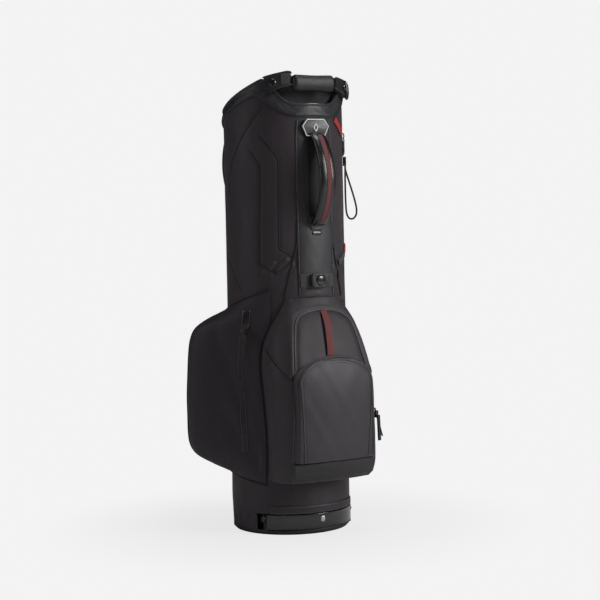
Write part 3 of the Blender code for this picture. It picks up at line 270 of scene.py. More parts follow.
def joined_skins(name, parts, body, material, crease=40.0):
    """Several closed skins in one mesh, for a run of like pieces."""
    arrays = [skin_arrays(rings) for rings in parts]
    starts = np.cumsum([0] + [len(a[0]) for a in arrays[:-1]])
    points = np.concatenate([a[0] for a in arrays])
    quads = np.concatenate([a[1] + start for a, start in zip(arrays, starts)])
    return make_piece(name, points, quads, np.concatenate([a[2] for a in arrays]), body, material, crease)


def tube_rings(path, wide, high=None, outward=None, sides=10, taper=0.0, closed=False):
    """An ellipse carried along a line: wide across the surface it lies on, high along the outward
    direction, and shrunk at both ends by the taper's length along an ellipse's quarter."""
    path = np.asarray(path, float)
    high = wide if high is None else high
    if closed:
        along = np.roll(path, -1, axis=0) - np.roll(path, 1, axis=0)
    else:
        along = np.gradient(path, axis=0)
    along /= np.linalg.norm(along, axis=1, keepdims=True)
    if outward is None:
        outward = path * (1.0, 1.0, 0.0)
    outward = np.broadcast_to(outward, path.shape)
    lift = outward - (outward * along).sum(axis=1, keepdims=True) * along
    lift /= np.linalg.norm(lift, axis=1, keepdims=True)
    side = np.cross(along, lift)
    turn = np.linspace(0, 2 * np.pi, sides, endpoint=False)
    size = np.ones(len(path))
    if taper:
        run = np.concatenate([[0.0], np.cumsum(np.linalg.norm(np.diff(path, axis=0), axis=1))])
        from_end = np.minimum(run, run[-1] - run)
        near = 1.0 - np.minimum(1.0, from_end / taper)
        size = np.maximum(0.22, np.sqrt(np.maximum(0.0, 1.0 - near ** 2)))
    size = size[:, None, None]
    return (path[:, None] + size * wide * np.cos(turn)[None, :, None] * side[:, None]
            + size * high * np.sin(turn)[None, :, None] * lift[:, None])


def make_group(name, inputs, outputs):
    """A shader node group with named sockets: inputs are (name, kind, value), outputs (name, kind)."""
    tree = bpy.data.node_groups.new(name, "ShaderNodeTree")
    for label, kind, value in inputs:
        socket = tree.interface.new_socket(label, in_out="INPUT", socket_type="NodeSocket" + kind)
        if value is not None:
            socket.default_value = value
    for label, kind in outputs:
        tree.interface.new_socket(label, in_out="OUTPUT", socket_type="NodeSocket" + kind)
    return tree, add_node(tree, "NodeGroupInput"), add_node(tree, "NodeGroupOutput")


def sums(tree, operation, first, second, clamp=False):
    """One Math node's result."""
    return add_node(tree, "ShaderNodeMath", {0: first, 1: second}, operation=operation,
                    use_clamp=clamp).outputs[0]


def weave_group():
    """Plain weave on a map in metres: threads cross as the product of two sines, and each thread is a
    little lighter or darker than the next. Gives the height and the tone of the cloth."""
    tree, given, result = make_group("thread_weave", [("Map", "Vector", None), ("Thread", "Float", 0.0006)],
                                     [("Height", "Float"), ("Tone", "Float")])
    pace = sums(tree, "DIVIDE", math.tau, given.outputs["Thread"])
    split = add_node(tree, "ShaderNodeSeparateXYZ", {0: given.outputs["Map"]})
    warp = sums(tree, "SINE", sums(tree, "MULTIPLY", split.outputs[0], pace), 0.0)
    weft = sums(tree, "SINE", sums(tree, "MULTIPLY", split.outputs[1], pace), 0.0)
    height = add_node(tree, "ShaderNodeMapRange", {"Value": sums(tree, "MULTIPLY", warp, weft),
                                                   "From Min": -1.0}).outputs["Result"]
    stretched = add_node(tree, "ShaderNodeVectorMath", {0: given.outputs["Map"], 1: (1400.0, 90.0, 1.0)},
                         operation="MULTIPLY")
    uneven = add_node(tree, "ShaderNodeTexNoise", {"Vector": stretched.outputs[0], "Scale": 1.0,
                                                   "Detail": 1.0})
    tone = sums(tree, "ADD", sums(tree, "MULTIPLY", height, 0.5),
                sums(tree, "MULTIPLY", uneven.outputs["Fac"], 0.5))
    tree.links.new(height, result.inputs["Height"])
    tree.links.new(tone, result.inputs["Tone"])
    return tree


def handling_group():
    """Broad, soft patches where hands and grass have dulled a surface, and a fine speckle of dust that
    settles on whatever faces up. Gives the two masks and the patches' lift in roughness."""
    tree, given, result = make_group("handling_marks", [("Place", "Vector", None), ("Patch", "Float", 9.0)],
                                     [("Patches", "Float"), ("Dust", "Float"), ("Rougher", "Float")])
    broad = add_node(tree, "ShaderNodeTexNoise", {"Vector": given.outputs["Place"],
                                                  "Scale": given.outputs["Patch"], "Detail": 3.0,
                                                  "Roughness": 0.55})
    patches = add_node(tree, "ShaderNodeMapRange", {"Value": broad.outputs["Fac"], "From Min": 0.35,
                                                    "From Max": 0.7}, interpolation_type="SMOOTHSTEP")
    fine = add_node(tree, "ShaderNodeTexNoise", {"Vector": given.outputs["Place"], "Scale": 420.0,
                                                 "Detail": 2.0})
    specks = add_node(tree, "ShaderNodeMapRange", {"Value": fine.outputs["Fac"], "From Min": 0.60,
                                                   "From Max": 0.80})
    facing = add_node(tree, "ShaderNodeSeparateXYZ", {0: add_node(tree, "ShaderNodeNewGeometry").outputs[
        "Normal"]})
    upward = sums(tree, "MULTIPLY", facing.outputs["Z"], 0.8, clamp=True)
    dust = sums(tree, "MULTIPLY", sums(tree, "ADD", upward, 0.10), specks.outputs["Result"])
    tree.links.new(patches.outputs["Result"], result.inputs["Patches"])
    tree.links.new(dust, result.inputs["Dust"])
    tree.links.new(sums(tree, "MULTIPLY", patches.outputs["Result"], 0.08), result.inputs["Rougher"])
    return tree


thread_weave = weave_group()
handling_marks = handling_group()


def use_group(tree, group, inputs):
    node = tree.nodes.new("ShaderNodeGroup")
    node.node_tree = group
    for name, value in inputs.items():
        if isinstance(value, bpy.types.NodeSocket):
            tree.links.new(value, node.inputs[name])
        else:
            node.inputs[name].default_value = value
    return node


def start_material(name, **fixed):
    """A material with its Principled shader; the fixed values are set on the shader's own sockets."""
    material = bpy.data.materials.new(name)
    material.use_nodes = True
    shader = material.node_tree.nodes["Principled BSDF"]
    for label, value in fixed.items():
        shader.inputs[label.replace("_", " ")].default_value = value
    return material, material.node_tree, shader


def mixed(tree, share, first, second):
    """A colour between two, by a share from 0 to 1."""
    return add_node(tree, "ShaderNodeMix", {0: share, 6: first, 7: second}, data_type="RGBA").outputs[2]


def cloth_material(name, dark, light, thread, rough, bump=0.25, sheen=0.25, patch=9.0):
    """Woven cloth: the weave's tone runs between two colours, patches dull it, and dust lies on top."""
    material, tree, shader = start_material(name, Sheen_Weight=sheen, Sheen_Roughness=0.45)
    flat_map = add_node(tree, "ShaderNodeUVMap", uv_map="UVMap")
    weave = use_group(tree, thread_weave, {"Map": flat_map.outputs[0], "Thread": thread})
    place = add_node(tree, "ShaderNodeTexCoord")
    marks = use_group(tree, handling_marks, {"Place": place.outputs["Object"], "Patch": patch})
    woven = mixed(tree, weave.outputs["Tone"], (*dark, 1.0), (*light, 1.0))
    worn = mixed(tree, sums(tree, "MULTIPLY", marks.outputs["Patches"], 0.35), woven, (*light, 1.0))
    dusty = mixed(tree, sums(tree, "MULTIPLY", marks.outputs["Dust"], 0.25), worn, (0.20, 0.19, 0.18, 1.0))
    tree.links.new(dusty, shader.inputs["Base Color"])
    tree.links.new(sums(tree, "ADD", marks.outputs["Rougher"], rough), shader.inputs["Roughness"])
    raised = add_node(tree, "ShaderNodeBump", {"Height": weave.outputs["Height"], "Strength": bump,
                                               "Distance": thread * 0.4})
    tree.links.new(raised.outputs[0], shader.inputs["Normal"])
    return material


braid = cloth_material("braided_cord", (0.006, 0.005, 0.006), (0.020, 0.018, 0.020), 0.0011, 0.62, 0.6)


def hang_loop():
    """The route's points turned from the loop's own plane into the frame, smoothed and given a round
    section; it keeps one length from end to end."""
    out, across = polar(1.0, LOOP_ANGLE, 0.0), polar(1.0, LOOP_ANGLE + 90.0, 0.0)
    reach, aside, height = np.array(LOOP_ROUTE).T
    knots = reach[:, None] * out + aside[:, None] * across + height[:, None] * np.array((0.0, 0.0, 1.0))
    path = even_steps(spline_through(knots, 600), 0.002)
    rings = tube_rings(path, LOOP_SIZE / 2, outward=across, sides=14)
    loop = closed_skin("cord_loop", rings, "bag", braid)
    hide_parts("loop_cord")


hang_loop()

# ---------------------------------------------------------------- nylon tube
# Two layers of coated nylon over thin foam, sewn from shaped panels; the seams run as low ridges with
# a pressed line beside them, and the yoke above the ball pocket is gathered into a few short folds.
TUBE_RADIUS = 0.1155
TUBE_INSIDE = 0.1115
RIM_MEAN = 0.8375
LEFT_SEAMS = [  # angle and height of each seam's corners
    [(-54.0, 0.7613), (-36.0, 0.7176), (-37.0, 0.5466), (-24.0, 0.5308)],
    [(-64.1, 0.7336), (-53.7, 0.7035), (-57.0, 0.5187), (-37.6, 0.4974)]]
FAINT_SEAMS = [
    [(-48.3, 0.8176), (-72.1, 0.7629), (-89.9, 0.7146), (-99.0, 0.6500)],
    [(-102.7, 0.5275), (-79.7, 0.4650)]]
YOKE_FOLDS = [
    [(-25.0, 0.5180), (-33.0, 0.5050), (-40.0, 0.4990)], [(-30.0, 0.5250), (-40.0, 0.5085)],
    [(-42.0, 0.5190), (-52.0, 0.5020)], [(22.0, 0.5100), (30.0, 0.4900)], [(26.0, 0.5350), (38.0, 0.5050)]]


def dip(angle, depth, half, power):
    """How far the front edge drops: a squared cosine of the angle's share of the half width, to a power."""
    share = np.minimum(1.0, np.abs(angle) / half)
    return depth * np.cos(np.pi / 2 * share ** power) ** 2


def rim_plain(angle):
    """The undipped rim: highest in front, lowest at the legs."""
    return RIM_MEAN + 0.045 * np.cos(np.radians(angle)) + 0.0055 * np.cos(2 * np.radians(angle))


def rim_height(angle):
    return rim_plain(angle) - dip(angle, 0.070, 52.0, 2.0)


def seam_height(angle):
    fuller = 0.0045 * np.exp(-((angle - 45.0) / 22.0) ** 2)
    return RIM_MEAN - 0.026 + 0.045 * np.cos(np.radians(angle)) - dip(angle, 0.0615, 62.0, 1.7) - fuller


def tube_foot(angle):
    """The tube's lower edge: level in front, rising behind the foot plate's hinge line."""
    behind = np.maximum(0.0, -TUBE_RADIUS * np.cos(np.radians(angle)) + 0.058)
    return np.maximum(0.0405, 0.0128 + behind * math.tan(math.radians(21.0)) + 0.002)


def from_line(angle, height, corners):
    """Distance of each point of the wall from a bent line on it, as if the wall were rolled flat."""
    spots = np.array(corners) * (math.radians(1.0) * TUBE_RADIUS, 1.0)
    x, z = np.radians(angle) * TUBE_RADIUS, height
    near = np.full(np.broadcast(x, z).shape, 1.0)
    for (ax, az), (bx, bz) in zip(spots[:-1], spots[1:]):
        along = np.clip(((x - ax) * (bx - ax) + (z - az) * (bz - az)) / ((bx - ax) ** 2 + (bz - az) ** 2),
                        0.0, 1.0)
        near = np.minimum(near, np.hypot(x - ax - along * (bx - ax), z - az - along * (bz - az)))
    return near


def soft_wave(first, second, size):
    """A slow ripple: three sines at unlike angles and paces, summed to about the given size."""
    return size * (0.5 * np.sin(first * 1.0 + second * 0.7 + 0.4)
                   + 0.3 * np.sin(first * 2.3 - second * 1.9 + 1.7)
                   + 0.2 * np.sin(first * 4.1 + second * 3.3 + 2.9))


def wall_relief(angle, height):
    """How far the cloth stands off or sinks from the plain tube: soft ripples, a pressed valley beside
    every seam, and the yoke's folds, which are low rounded ridges that fade at both ends."""
    relief = soft_wave(np.radians(angle) * 5.0, height * 16.0, 0.0007)
    for corners in LEFT_SEAMS:
        away = from_line(angle, height, corners)
        relief = relief - 0.0011 * np.exp(-(away / 0.0045) ** 2)
    for corners in FAINT_SEAMS:
        relief = relief - 0.0006 * np.exp(-(from_line(angle, height, corners) / 0.004) ** 2)
    for corners in YOKE_FOLDS:
        away = from_line(angle, height, corners)
        relief = relief + 0.0016 * np.exp(-(away / 0.0035) ** 2) - 0.0010 * np.exp(
            -((away - 0.0065) / 0.0035) ** 2)
    return relief


nylon = cloth_material("coated_nylon", (0.0165, 0.0116, 0.0150), (0.0320, 0.0235, 0.0295), 0.0006, 0.52,
                       0.22, 0.12)


def sew_tube():
    """A wall of two skins: the outer radius carries the relief, the inner is plain, and the profile goes
    up the outside and down the inside in one round trip."""
    angle = np.concatenate([np.linspace(-140.0, 60.0, 250, endpoint=False),
                            np.linspace(60.0, 220.0, 110, endpoint=False)])
    up = np.concatenate([np.linspace(0.0, 1.0, 236), [0.999, 0.66, 0.33, 0.001]])
    inside = np.arange(len(up)) >= 236
    low, high = tube_foot(angle), seam_height(angle) + 0.001
    height = low + (high - low) * up[:, None]
    relief = wall_relief(angle[None, :], height) * np.clip(np.minimum(up, 1 - up) / 0.02, 0, 1)[:, None]
    radius = np.where(inside[:, None], TUBE_INSIDE, TUBE_RADIUS + relief)
    tube = closed_skin("nylon_tube", polar(radius, angle, height), "bag", nylon, round_trip=True)
    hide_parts("body_shell")


def on_wall(corners, lift=0.0, step=0.003):
    """A smooth-cornered line on the tube through bent-line corners, at a height off its cloth."""
    flat = np.array([(math.radians(a) * TUBE_RADIUS, z, 0.0) for a, z in corners])
    legs = [np.linspace(a, b, 60)[:-1] for a, b in zip(flat[:-1], flat[1:])] + [flat[-1:]]
    line = even_steps(np.concatenate(legs), step / 2)
    soft = np.stack([np.convolve(np.pad(line[:, k], 4, mode="edge"), np.full(9, 1 / 9), "valid")
                     for k in range(3)], axis=1)
    soft[0], soft[-1] = line[0], line[-1]
    soft = even_steps(soft, step)
    angle = np.degrees(soft[:, 0] / TUBE_RADIUS)
    return polar(TUBE_RADIUS + wall_relief(angle, soft[:, 1]) + lift, angle, soft[:, 1])


seam_shade = cloth_material("seam_shade", (0.0040, 0.0034, 0.0040), (0.0090, 0.0076, 0.0088), 0.0006,
                            0.62, 0.2,
                            0.02)


def raise_seams():
    """Each seam's folded edge: a flat, low half-round laid along the line, tapered to nothing."""
    ridges = [tube_rings(on_wall(corners, 0.0002), 0.0016, 0.0007, taper=0.008) for corners in LEFT_SEAMS]
    ridges += [tube_rings(on_wall(corners, 0.0001), 0.0014, 0.0005, taper=0.008) for corners in FAINT_SEAMS]
    joined_skins("tube_seams", ridges, "bag", seam_shade)


def stitch_parts(path, outward, length, gap, wide, high, sink=0.35):
    """Centres, lengthways, sideways and outward directions of a run of stitches along a line."""
    path = np.asarray(path, float)
    run = np.concatenate([[0.0], np.cumsum(np.linalg.norm(np.diff(path, axis=0), axis=1))])
    at = np.arange(length / 2 + gap, run[-1] - length / 2 - gap, length + gap)
    centre = np.stack([np.interp(at, run, path[:, k]) for k in range(3)], axis=1)
    ahead = np.stack([np.interp(at + 0.0004, run, path[:, k]) for k in range(3)], axis=1)
    along = ahead - centre
    along /= np.linalg.norm(along, axis=1, keepdims=True)
    out = np.broadcast_to(outward, path.shape)
    out = np.stack([np.interp(at, run, out[:, k]) for k in range(3)], axis=1)
    out -= (out * along).sum(axis=1, keepdims=True) * along
    out /= np.linalg.norm(out, axis=1, keepdims=True)
    side = np.cross(along, out)
    share = np.array([-0.5, -0.3, 0.0, 0.3, 0.5])
    size = np.array([0.35, 0.9, 1.0, 0.9, 0.35])
    turn = np.linspace(0, 2 * np.pi, 6, endpoint=False)
    rings = (centre[:, None, None] + length * share[None, :, None, None] * along[:, None, None]
             + wide * (size[:, None] * np.cos(turn))[None, :, :, None] * side[:, None, None]
             + high * (size[:, None] * np.sin(turn) - sink)[None, :, :, None] * out[:, None, None])
    return list(rings)


def sew_stitches(name, runs, body, material, length=0.0034, gap=0.0012, wide=0.00035, high=0.00035):
    """A sewn line of thread: little rounded bars that sink into the cloth at both ends."""
    parts = [ring for path, outward in runs for ring in stitch_parts(path, outward, length, gap, wide,
                                                                     high)]
    joined_skins(name, parts, body, material)


def flat_out(path):
    """Straight away from the bag's upright axis, at each point of a line."""
    return path * (1.0, 1.0, 0.0)


thread = cloth_material("sewing_thread", (0.020, 0.018, 0.020), (0.040, 0.036, 0.040), 0.0004, 0.55, 0.3)
sew_tube()
raise_seams()
beside = [on_wall([(a + 2.0, z + 0.001) for a, z in corners], 0.0002) for corners in LEFT_SEAMS]
sew_stitches("tube_stitches", [(path, flat_out(path)) for path in beside], "bag", thread)

# ---------------------------------------------------------------- leather cuff
# The mouth's collar: satin leather stretched over a moulded ring, rolled into a bead at the rim and
# turned under at its lower edge, with one upright seam to the left of the front.
FRAME_OUTSIDE = 0.1112
FRAME_INSIDE = 0.1077


def grain_group():
    """Leather grain: small cells with soft borders, pulled about by a slow noise. Gives the height of the
    cells and a mask of the creases between them."""
    tree, given, result = make_group("leather_grain", [("Place", "Vector", None),
                                                       ("Cells", "Float", 520.0)],
                                     [("Height", "Float"), ("Creases", "Float")])
    drift = add_node(tree, "ShaderNodeTexNoise", {"Vector": given.outputs["Place"], "Scale": 120.0})
    pulled = add_node(tree, "ShaderNodeVectorMath", {0: drift.outputs["Color"], 1: (0.004, 0.004, 0.004)},
                      operation="MULTIPLY")
    moved = add_node(tree, "ShaderNodeVectorMath", {0: given.outputs["Place"], 1: pulled.outputs[0]},
                     operation="ADD")
    cells = add_node(tree, "ShaderNodeTexVoronoi", {"Vector": moved.outputs[0],
                                                    "Scale": given.outputs["Cells"]},
                     feature="DISTANCE_TO_EDGE")
    height = add_node(tree, "ShaderNodeMapRange", {"Value": cells.outputs["Distance"], "From Max": 0.22},
                      interpolation_type="SMOOTHSTEP")
    creases = sums(tree, "SUBTRACT", 1.0, height.outputs["Result"])
    tree.links.new(height.outputs["Result"], result.inputs["Height"])
    tree.links.new(creases, result.inputs["Creases"])
    return tree


leather_grain = grain_group()


def leather_material(name, colour, crease_colour, rough, cells=520.0, bump=0.25, coat=0.0, patch=14.0):
    """Grained leather: darker in its creases, duller where it is handled, with dust in its folds."""
    material, tree, shader = start_material(name, Coat_Roughness=0.18, Specular_IOR_Level=0.5)
    place = add_node(tree, "ShaderNodeTexCoord")
    grain = use_group(tree, leather_grain, {"Place": place.outputs["Object"], "Cells": cells})
    marks = use_group(tree, handling_marks, {"Place": place.outputs["Object"], "Patch": patch})
    hide = mixed(tree, grain.outputs["Creases"], (*colour, 1.0), (*crease_colour, 1.0))
    worn = mixed(tree, sums(tree, "MULTIPLY", marks.outputs["Patches"], 0.25), hide,
                 (0.045, 0.045, 0.05, 1.0))
    dusty = mixed(tree, sums(tree, "MULTIPLY", marks.outputs["Dust"], 0.15), worn, (0.2, 0.2, 0.2, 1.0))
    tree.links.new(dusty, shader.inputs["Base Color"])
    tree.links.new(sums(tree, "ADD", marks.outputs["Rougher"], rough), shader.inputs["Roughness"])
    if coat:
        tree.links.new(sums(tree, "SUBTRACT", coat, marks.outputs["Rougher"]), shader.inputs["Coat Weight"])
    raised = add_node(tree, "ShaderNodeBump", {"Height": grain.outputs["Height"], "Strength": bump,
                                               "Distance": 0.0004})
    tree.links.new(raised.outputs[0], shader.inputs["Normal"])
    return material


cuff_leather = leather_material("cuff_leather", (0.024, 0.025, 0.029), (0.012, 0.012, 0.014), 0.38)
# The bead's leather is painted much lighter than the cuff's: painted highlight along the rim.
bead_highlight_leather = leather_material("bead_highlight_leather", (0.075, 0.077, 0.082), (0.040, 0.040, 0.044), 0.24, 520.0,
                                0.1, 0.8)


def stretch_cuff():
    """Outside: a roll that is fullest a quarter of the way up and tucked under at the seam, with a pressed
    upright seam; inside: plain, a hair clear of the moulded ring."""
    angle = np.linspace(-180.0, 180.0, 420, endpoint=False)
    up = np.linspace(0.0, 1.0, 60)[:, None]
    low, high = seam_height(angle), rim_height(angle)
    flare = 0.0036 * np.sin(np.pi * np.minimum(1.0, up * 1.15) ** 0.42) ** 1.3
    flare = flare + 0.0012 * np.clip((up - 0.90) / 0.1, 0, 1) ** 0.5 - 0.0012 * np.clip(1 - up / 0.05, 0, 1)
    flare = flare - 0.0008 * np.exp(-((angle + 45.0) / 1.1) ** 2) * np.sin(np.pi * up)
    flare = flare + soft_wave(np.radians(angle) * 7.0, up * 3.0, 0.0005)
    outer = polar(TUBE_RADIUS + flare, angle, low + (high - low) * up)
    lip = np.linspace(0.0, np.pi, 8)[1:-1, None]
    reach = (TUBE_RADIUS + flare[-1] - FRAME_OUTSIDE - 0.0003) / 2
    over = polar(FRAME_OUTSIDE + 0.0003 + reach + reach * np.cos(lip), angle, high + 0.0016 * np.sin(lip))
    down = np.linspace(1.0, 0.0, 6)[:, None]
    inner = polar(np.full_like(angle, FRAME_OUTSIDE + 0.0003), angle, low + (high - low) * down)
    cuff = closed_skin("cuff_leather", np.concatenate([outer, over, inner]), "bag", cuff_leather,
                       round_trip=True, crease=60.0)
    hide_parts("cuff_apron")


def trim_cuff():
    """The rolled bead inside the rim's dip, its leather painted light as a highlight, a welt over the lower
    seam, and the seam's stitches.
    """
    turn = np.linspace(-180.0, 180.0, 360, endpoint=False)
    bead = polar(0.1136, turn, rim_height(turn) + 0.0012)
    closed_skin("cuff_bead", tube_rings(bead, 0.0022, sides=12, closed=True), "bag", bead_highlight_leather,
                        round_trip=True)
    welt = polar(TUBE_RADIUS + 0.0006, turn, seam_height(turn) - 0.0004)
    closed_skin("cuff_welt", tube_rings(welt, 0.0013, 0.0010, closed=True), "bag", cuff_leather,
                        round_trip=True)
    upright = np.linspace(0.06, 0.88, 40)
    seams = []
    for angle in (-46.0, -44.0):
        height = seam_height(angle) + (rim_height(angle) - seam_height(angle)) * upright
        seams.append(polar(TUBE_RADIUS + 0.0030, np.full(40, angle), height))
    ring = np.linspace(-178.0, 178.0, 500)
    seams.append(polar(TUBE_RADIUS + 0.0019, ring, seam_height(ring) + 0.0042))
    sew_stitches("cuff_stitches", [(path, flat_out(path)) for path in seams], "bag", thread)


stretch_cuff()
trim_cuff()

# ---------------------------------------------------------------- moulded frame, brackets and divider
# Glass-filled nylon mouldings: the ring inside the cuff, the two brackets that carry the grab bar, and
# the six-way club divider; fine spark texture with softly worn corners.
def moulded_material(name, colour, rough, spark=900.0, bump=0.15, coat=0.0):
    """Moulded plastic: a fine spark texture, scuffed paler and duller in patches."""
    material, tree, shader = start_material(name, Coat_Roughness=0.08)
    place = add_node(tree, "ShaderNodeTexCoord")
    marks = use_group(tree, handling_marks, {"Place": place.outputs["Object"], "Patch": 22.0})
    fine = add_node(tree, "ShaderNodeTexNoise", {"Vector": place.outputs["Object"], "Scale": spark,
                                                 "Detail": 2.0})
    scuffed = mixed(tree, sums(tree, "MULTIPLY", marks.outputs["Patches"], 0.3), (*colour, 1.0),
                    tuple(min(1.0, c * 2.2 + 0.006) for c in colour) + (1.0,))
    dusty = mixed(tree, sums(tree, "MULTIPLY", marks.outputs["Dust"], 0.2), scuffed, (0.2, 0.2, 0.2, 1.0))
    tree.links.new(dusty, shader.inputs["Base Color"])
    tree.links.new(sums(tree, "ADD", marks.outputs["Rougher"], rough), shader.inputs["Roughness"])
    if coat:
        tree.links.new(sums(tree, "SUBTRACT", coat, marks.outputs["Rougher"]), shader.inputs["Coat Weight"])
    raised = add_node(tree, "ShaderNodeBump", {"Height": fine.outputs["Fac"], "Strength": bump,
                                               "Distance": 0.0003})
    tree.links.new(raised.outputs[0], shader.inputs["Normal"])
    return material


matte_moulding = moulded_material("matte_moulding", (0.012, 0.012, 0.013), 0.48)
gloss_moulding = moulded_material("gloss_moulding", (0.008, 0.008, 0.009), 0.22, 300.0, 0.05, 0.6)


def dress_node(name, material, edge=0.0):
    """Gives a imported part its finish; its loose triangles are welded and its corners rounded live."""
    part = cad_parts[name]
    part.data.materials.clear()
    part.data.materials.append(material)
    part.data.polygons.foreach_set("use_smooth", np.ones(len(part.data.polygons), bool))
    weld = part.modifiers.new("weld", "WELD")
    weld.merge_threshold = 1e-5
    if edge:
        rounding = part.modifiers.new("rounding", "BEVEL")
        rounding.width, rounding.segments = edge, 2
        rounding.limit_method, rounding.angle_limit = "ANGLE", math.radians(40.0)
        rounding.harden_normals = True
    else:
        shade = part.modifiers.new("shade", "WEIGHTED_NORMAL")
        shade.keep_sharp = True


for part_name in ("cuff_frame", "divider_grid"):
    dress_node(part_name, matte_moulding, 0.0007)

# ---------------------------------------------------------------- grab bar
# A foam-filled grip in stitched leather between the two brackets, rounded at its ends, with a moulded
# boss on each bracket where its rod is screwed in.
BAR_LOW, BAR_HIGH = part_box("grab_bar")
BAR_MIDDLE = (BAR_LOW + BAR_HIGH) / 2


def wrap_bar():
    """An oval carried along the bar: its size is a quarter ellipse over each rounded end, with a slight
    waist in the middle."""
    across = np.concatenate([[-1.0, -0.992, -0.97, -0.94], np.linspace(-0.90, 0.90, 37),
                             [0.94, 0.97, 0.992, 1.0]])
    end = np.clip((1.0 - np.abs(across)) / 0.16, 0.0, 1.0)
    size = np.maximum(0.30, np.sqrt(1.0 - (1.0 - end) ** 2)) * (1.0 - 0.03 * np.cos(np.pi * across))
    turn = np.linspace(0, 2 * np.pi, 48, endpoint=False)
    deep, tall = (BAR_HIGH.y - BAR_LOW.y) / 2, (BAR_HIGH.z - BAR_LOW.z) / 2 + 0.0006
    shape = np.stack([rounded(np.cos(turn), 0.85),
                      rounded(np.sin(turn), 0.90)], axis=1)
    reach = np.where(across < 0, 0.0480, 0.0440)
    x = np.broadcast_to((BAR_MIDDLE.x + across * reach)[:, None], (45, 48))
    y = BAR_MIDDLE.y + size[:, None] * deep * shape[:, 0]
    z = BAR_MIDDLE.z + size[:, None] * tall * shape[:, 1]
    bar = closed_skin("grab_bar_grip", np.stack([x, y, z], axis=-1), "bag", bar_leather)
    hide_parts("grab_bar")
    rounds = []
    for place in (-0.0300, -0.0275, 0.0275, 0.0300):
        around = np.linspace(0.15 * np.pi, 1.95 * np.pi, 60)
        path = np.stack([np.full(60, place), BAR_MIDDLE.y + 1.01 * deep * np.cos(around),
                         BAR_MIDDLE.z + 1.01 * tall * np.sin(around)], axis=1)
        rounds.append((path, path - np.array((place, BAR_MIDDLE.y, BAR_MIDDLE.z))))
    sew_stitches("bar_stitches", rounds, "bag", thread, 0.0026, 0.0012)


def disc_rings(centre, out, profile, sides=24):
    """A turned profile, (radius, distance along), round an outward direction."""
    centre, out = np.asarray(centre, float), np.asarray(out, float) / np.linalg.norm(out)
    side = np.cross((0.0, 0.0, 1.0) if abs(out[2]) < 0.9 else (1.0, 0.0, 0.0), out)
    side /= np.linalg.norm(side)
    other = np.cross(out, side)
    turn = np.linspace(0, 2 * np.pi, sides, endpoint=False)[None, :, None]
    radius, along = np.array(profile).T
    return (centre + along[:, None, None] * out
            + radius[:, None, None] * (np.cos(turn) * side + np.sin(turn) * other))


BRACKET_TOPS = {"left": [(22.0, -0.0085), (23.5, -0.0045), (26.0, -0.0025), (34.0, -0.0015),
                         (47.5, 0.0010)],
                "right": [(22.0, -0.0150), (24.0, -0.0130), (32.0, -0.0110), (40.0, -0.0080),
                          (47.5, -0.0050)]}
BRACKET_FEET = {"left": -0.0300, "right": -0.0350}


def bracket_edges(side):
    """Angles across a bracket, from the bar outwards, with the heights of its lower and upper edges."""
    span = np.linspace(22.0, 47.5, 60)
    angle = span if side == "right" else -span
    top = np.interp(span, *np.array(BRACKET_TOPS[side]).T)
    return angle, rim_plain(angle) + BRACKET_FEET[side] + 0.002 * (span > 46.5), rim_plain(angle) + top


def mould_brackets():
    """Each clamp: a thick curved wall over the rim with rounded edges, as rows across a superellipse."""
    for side in ("left", "right"):
        angle, low, high = bracket_edges(side)
        turn = np.linspace(0.0, 2 * np.pi, 40, endpoint=False)[:, None]
        out = rounded(np.cos(turn), 0.25)
        up = rounded(np.sin(turn), 0.25)
        ends = np.sqrt(np.clip(np.minimum(np.arange(60), 59 - np.arange(60)) / 3.0, 0.25, 1.0))
        radius = 0.1185 + 0.0095 * out * ends
        height = (low + high) / 2 + (high - low) / 2 * up * ends
        rings = np.swapaxes(polar(radius, angle + 0 * radius, height), 0, 1)
        clamp = closed_skin(f"clamp_{side}", rings, "bag", matte_moulding)
        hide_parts(f"bar_bracket_{side}")


def screw_bosses():
    """A dished boss near the outer end of each bracket, the right one's three fingers, a lip along each
    edge of both, and the webbing round the left one."""
    dish = [(0.0070, -0.0004), (0.0072, 0.0010), (0.0064, 0.0017), (0.0052, 0.0017), (0.0046, 0.0008),
            (0.0020, 0.0005), (0.0004, 0.0005)]
    bosses = []
    for angle in (-39.0, 39.0):
        height = float(rim_plain(angle)) - (0.0150 if angle < 0 else 0.0200)
        bosses.append(disc_rings(polar(0.1288, angle, height), polar(1.0, angle, 0.0), dish))
    joined_skins("bracket_bosses", bosses, "bag", gloss_moulding)
    fingers = []
    for angle, low in ((41.0, 0.8300), (44.5, 0.8290), (47.4, 0.8300)):
        angles = np.full(24, angle)
        height = np.linspace(low, float(rim_plain(angle)) - 0.006, 24)
        bow = 0.0020 * np.sin(np.linspace(0, np.pi, 24))
        path = polar(0.1286 + bow, angles, height)
        fingers.append(tube_rings(path, 0.0026, 0.0020, taper=0.004))
    joined_skins("bracket_fingers", fingers, "bag", gloss_moulding)
    lips = []
    for side in ("left", "right"):
        angle, low, high = bracket_edges(side)
        lips.append(tube_rings(polar(0.1280, angle, low + 0.0012), 0.0014, 0.0016, taper=0.004))
        lips.append(tube_rings(polar(0.1268, angle, high), 0.0016, 0.0013, taper=0.004))
    joined_skins("bracket_lips", lips, "bag", gloss_moulding)
    angle = -np.linspace(24.0, 31.5, 24)[:, None]
    reach = 0.1283 + 0.0010 * np.sqrt(1.0 - np.linspace(-1, 1, 30) ** 6)[None, :]
    height = float(rim_plain(-27.0)) + np.linspace(-0.0270, -0.0060, 30)[None, :]
    band = polar(reach + 0 * angle, angle + 0 * height, height + 0 * angle)
    under = polar(0.1278 + 0 * (reach + angle), angle + 0 * height, height + 0 * angle)
    closed_skin("bracket_band", front_and_back(band, under), "bag", band_cloth)


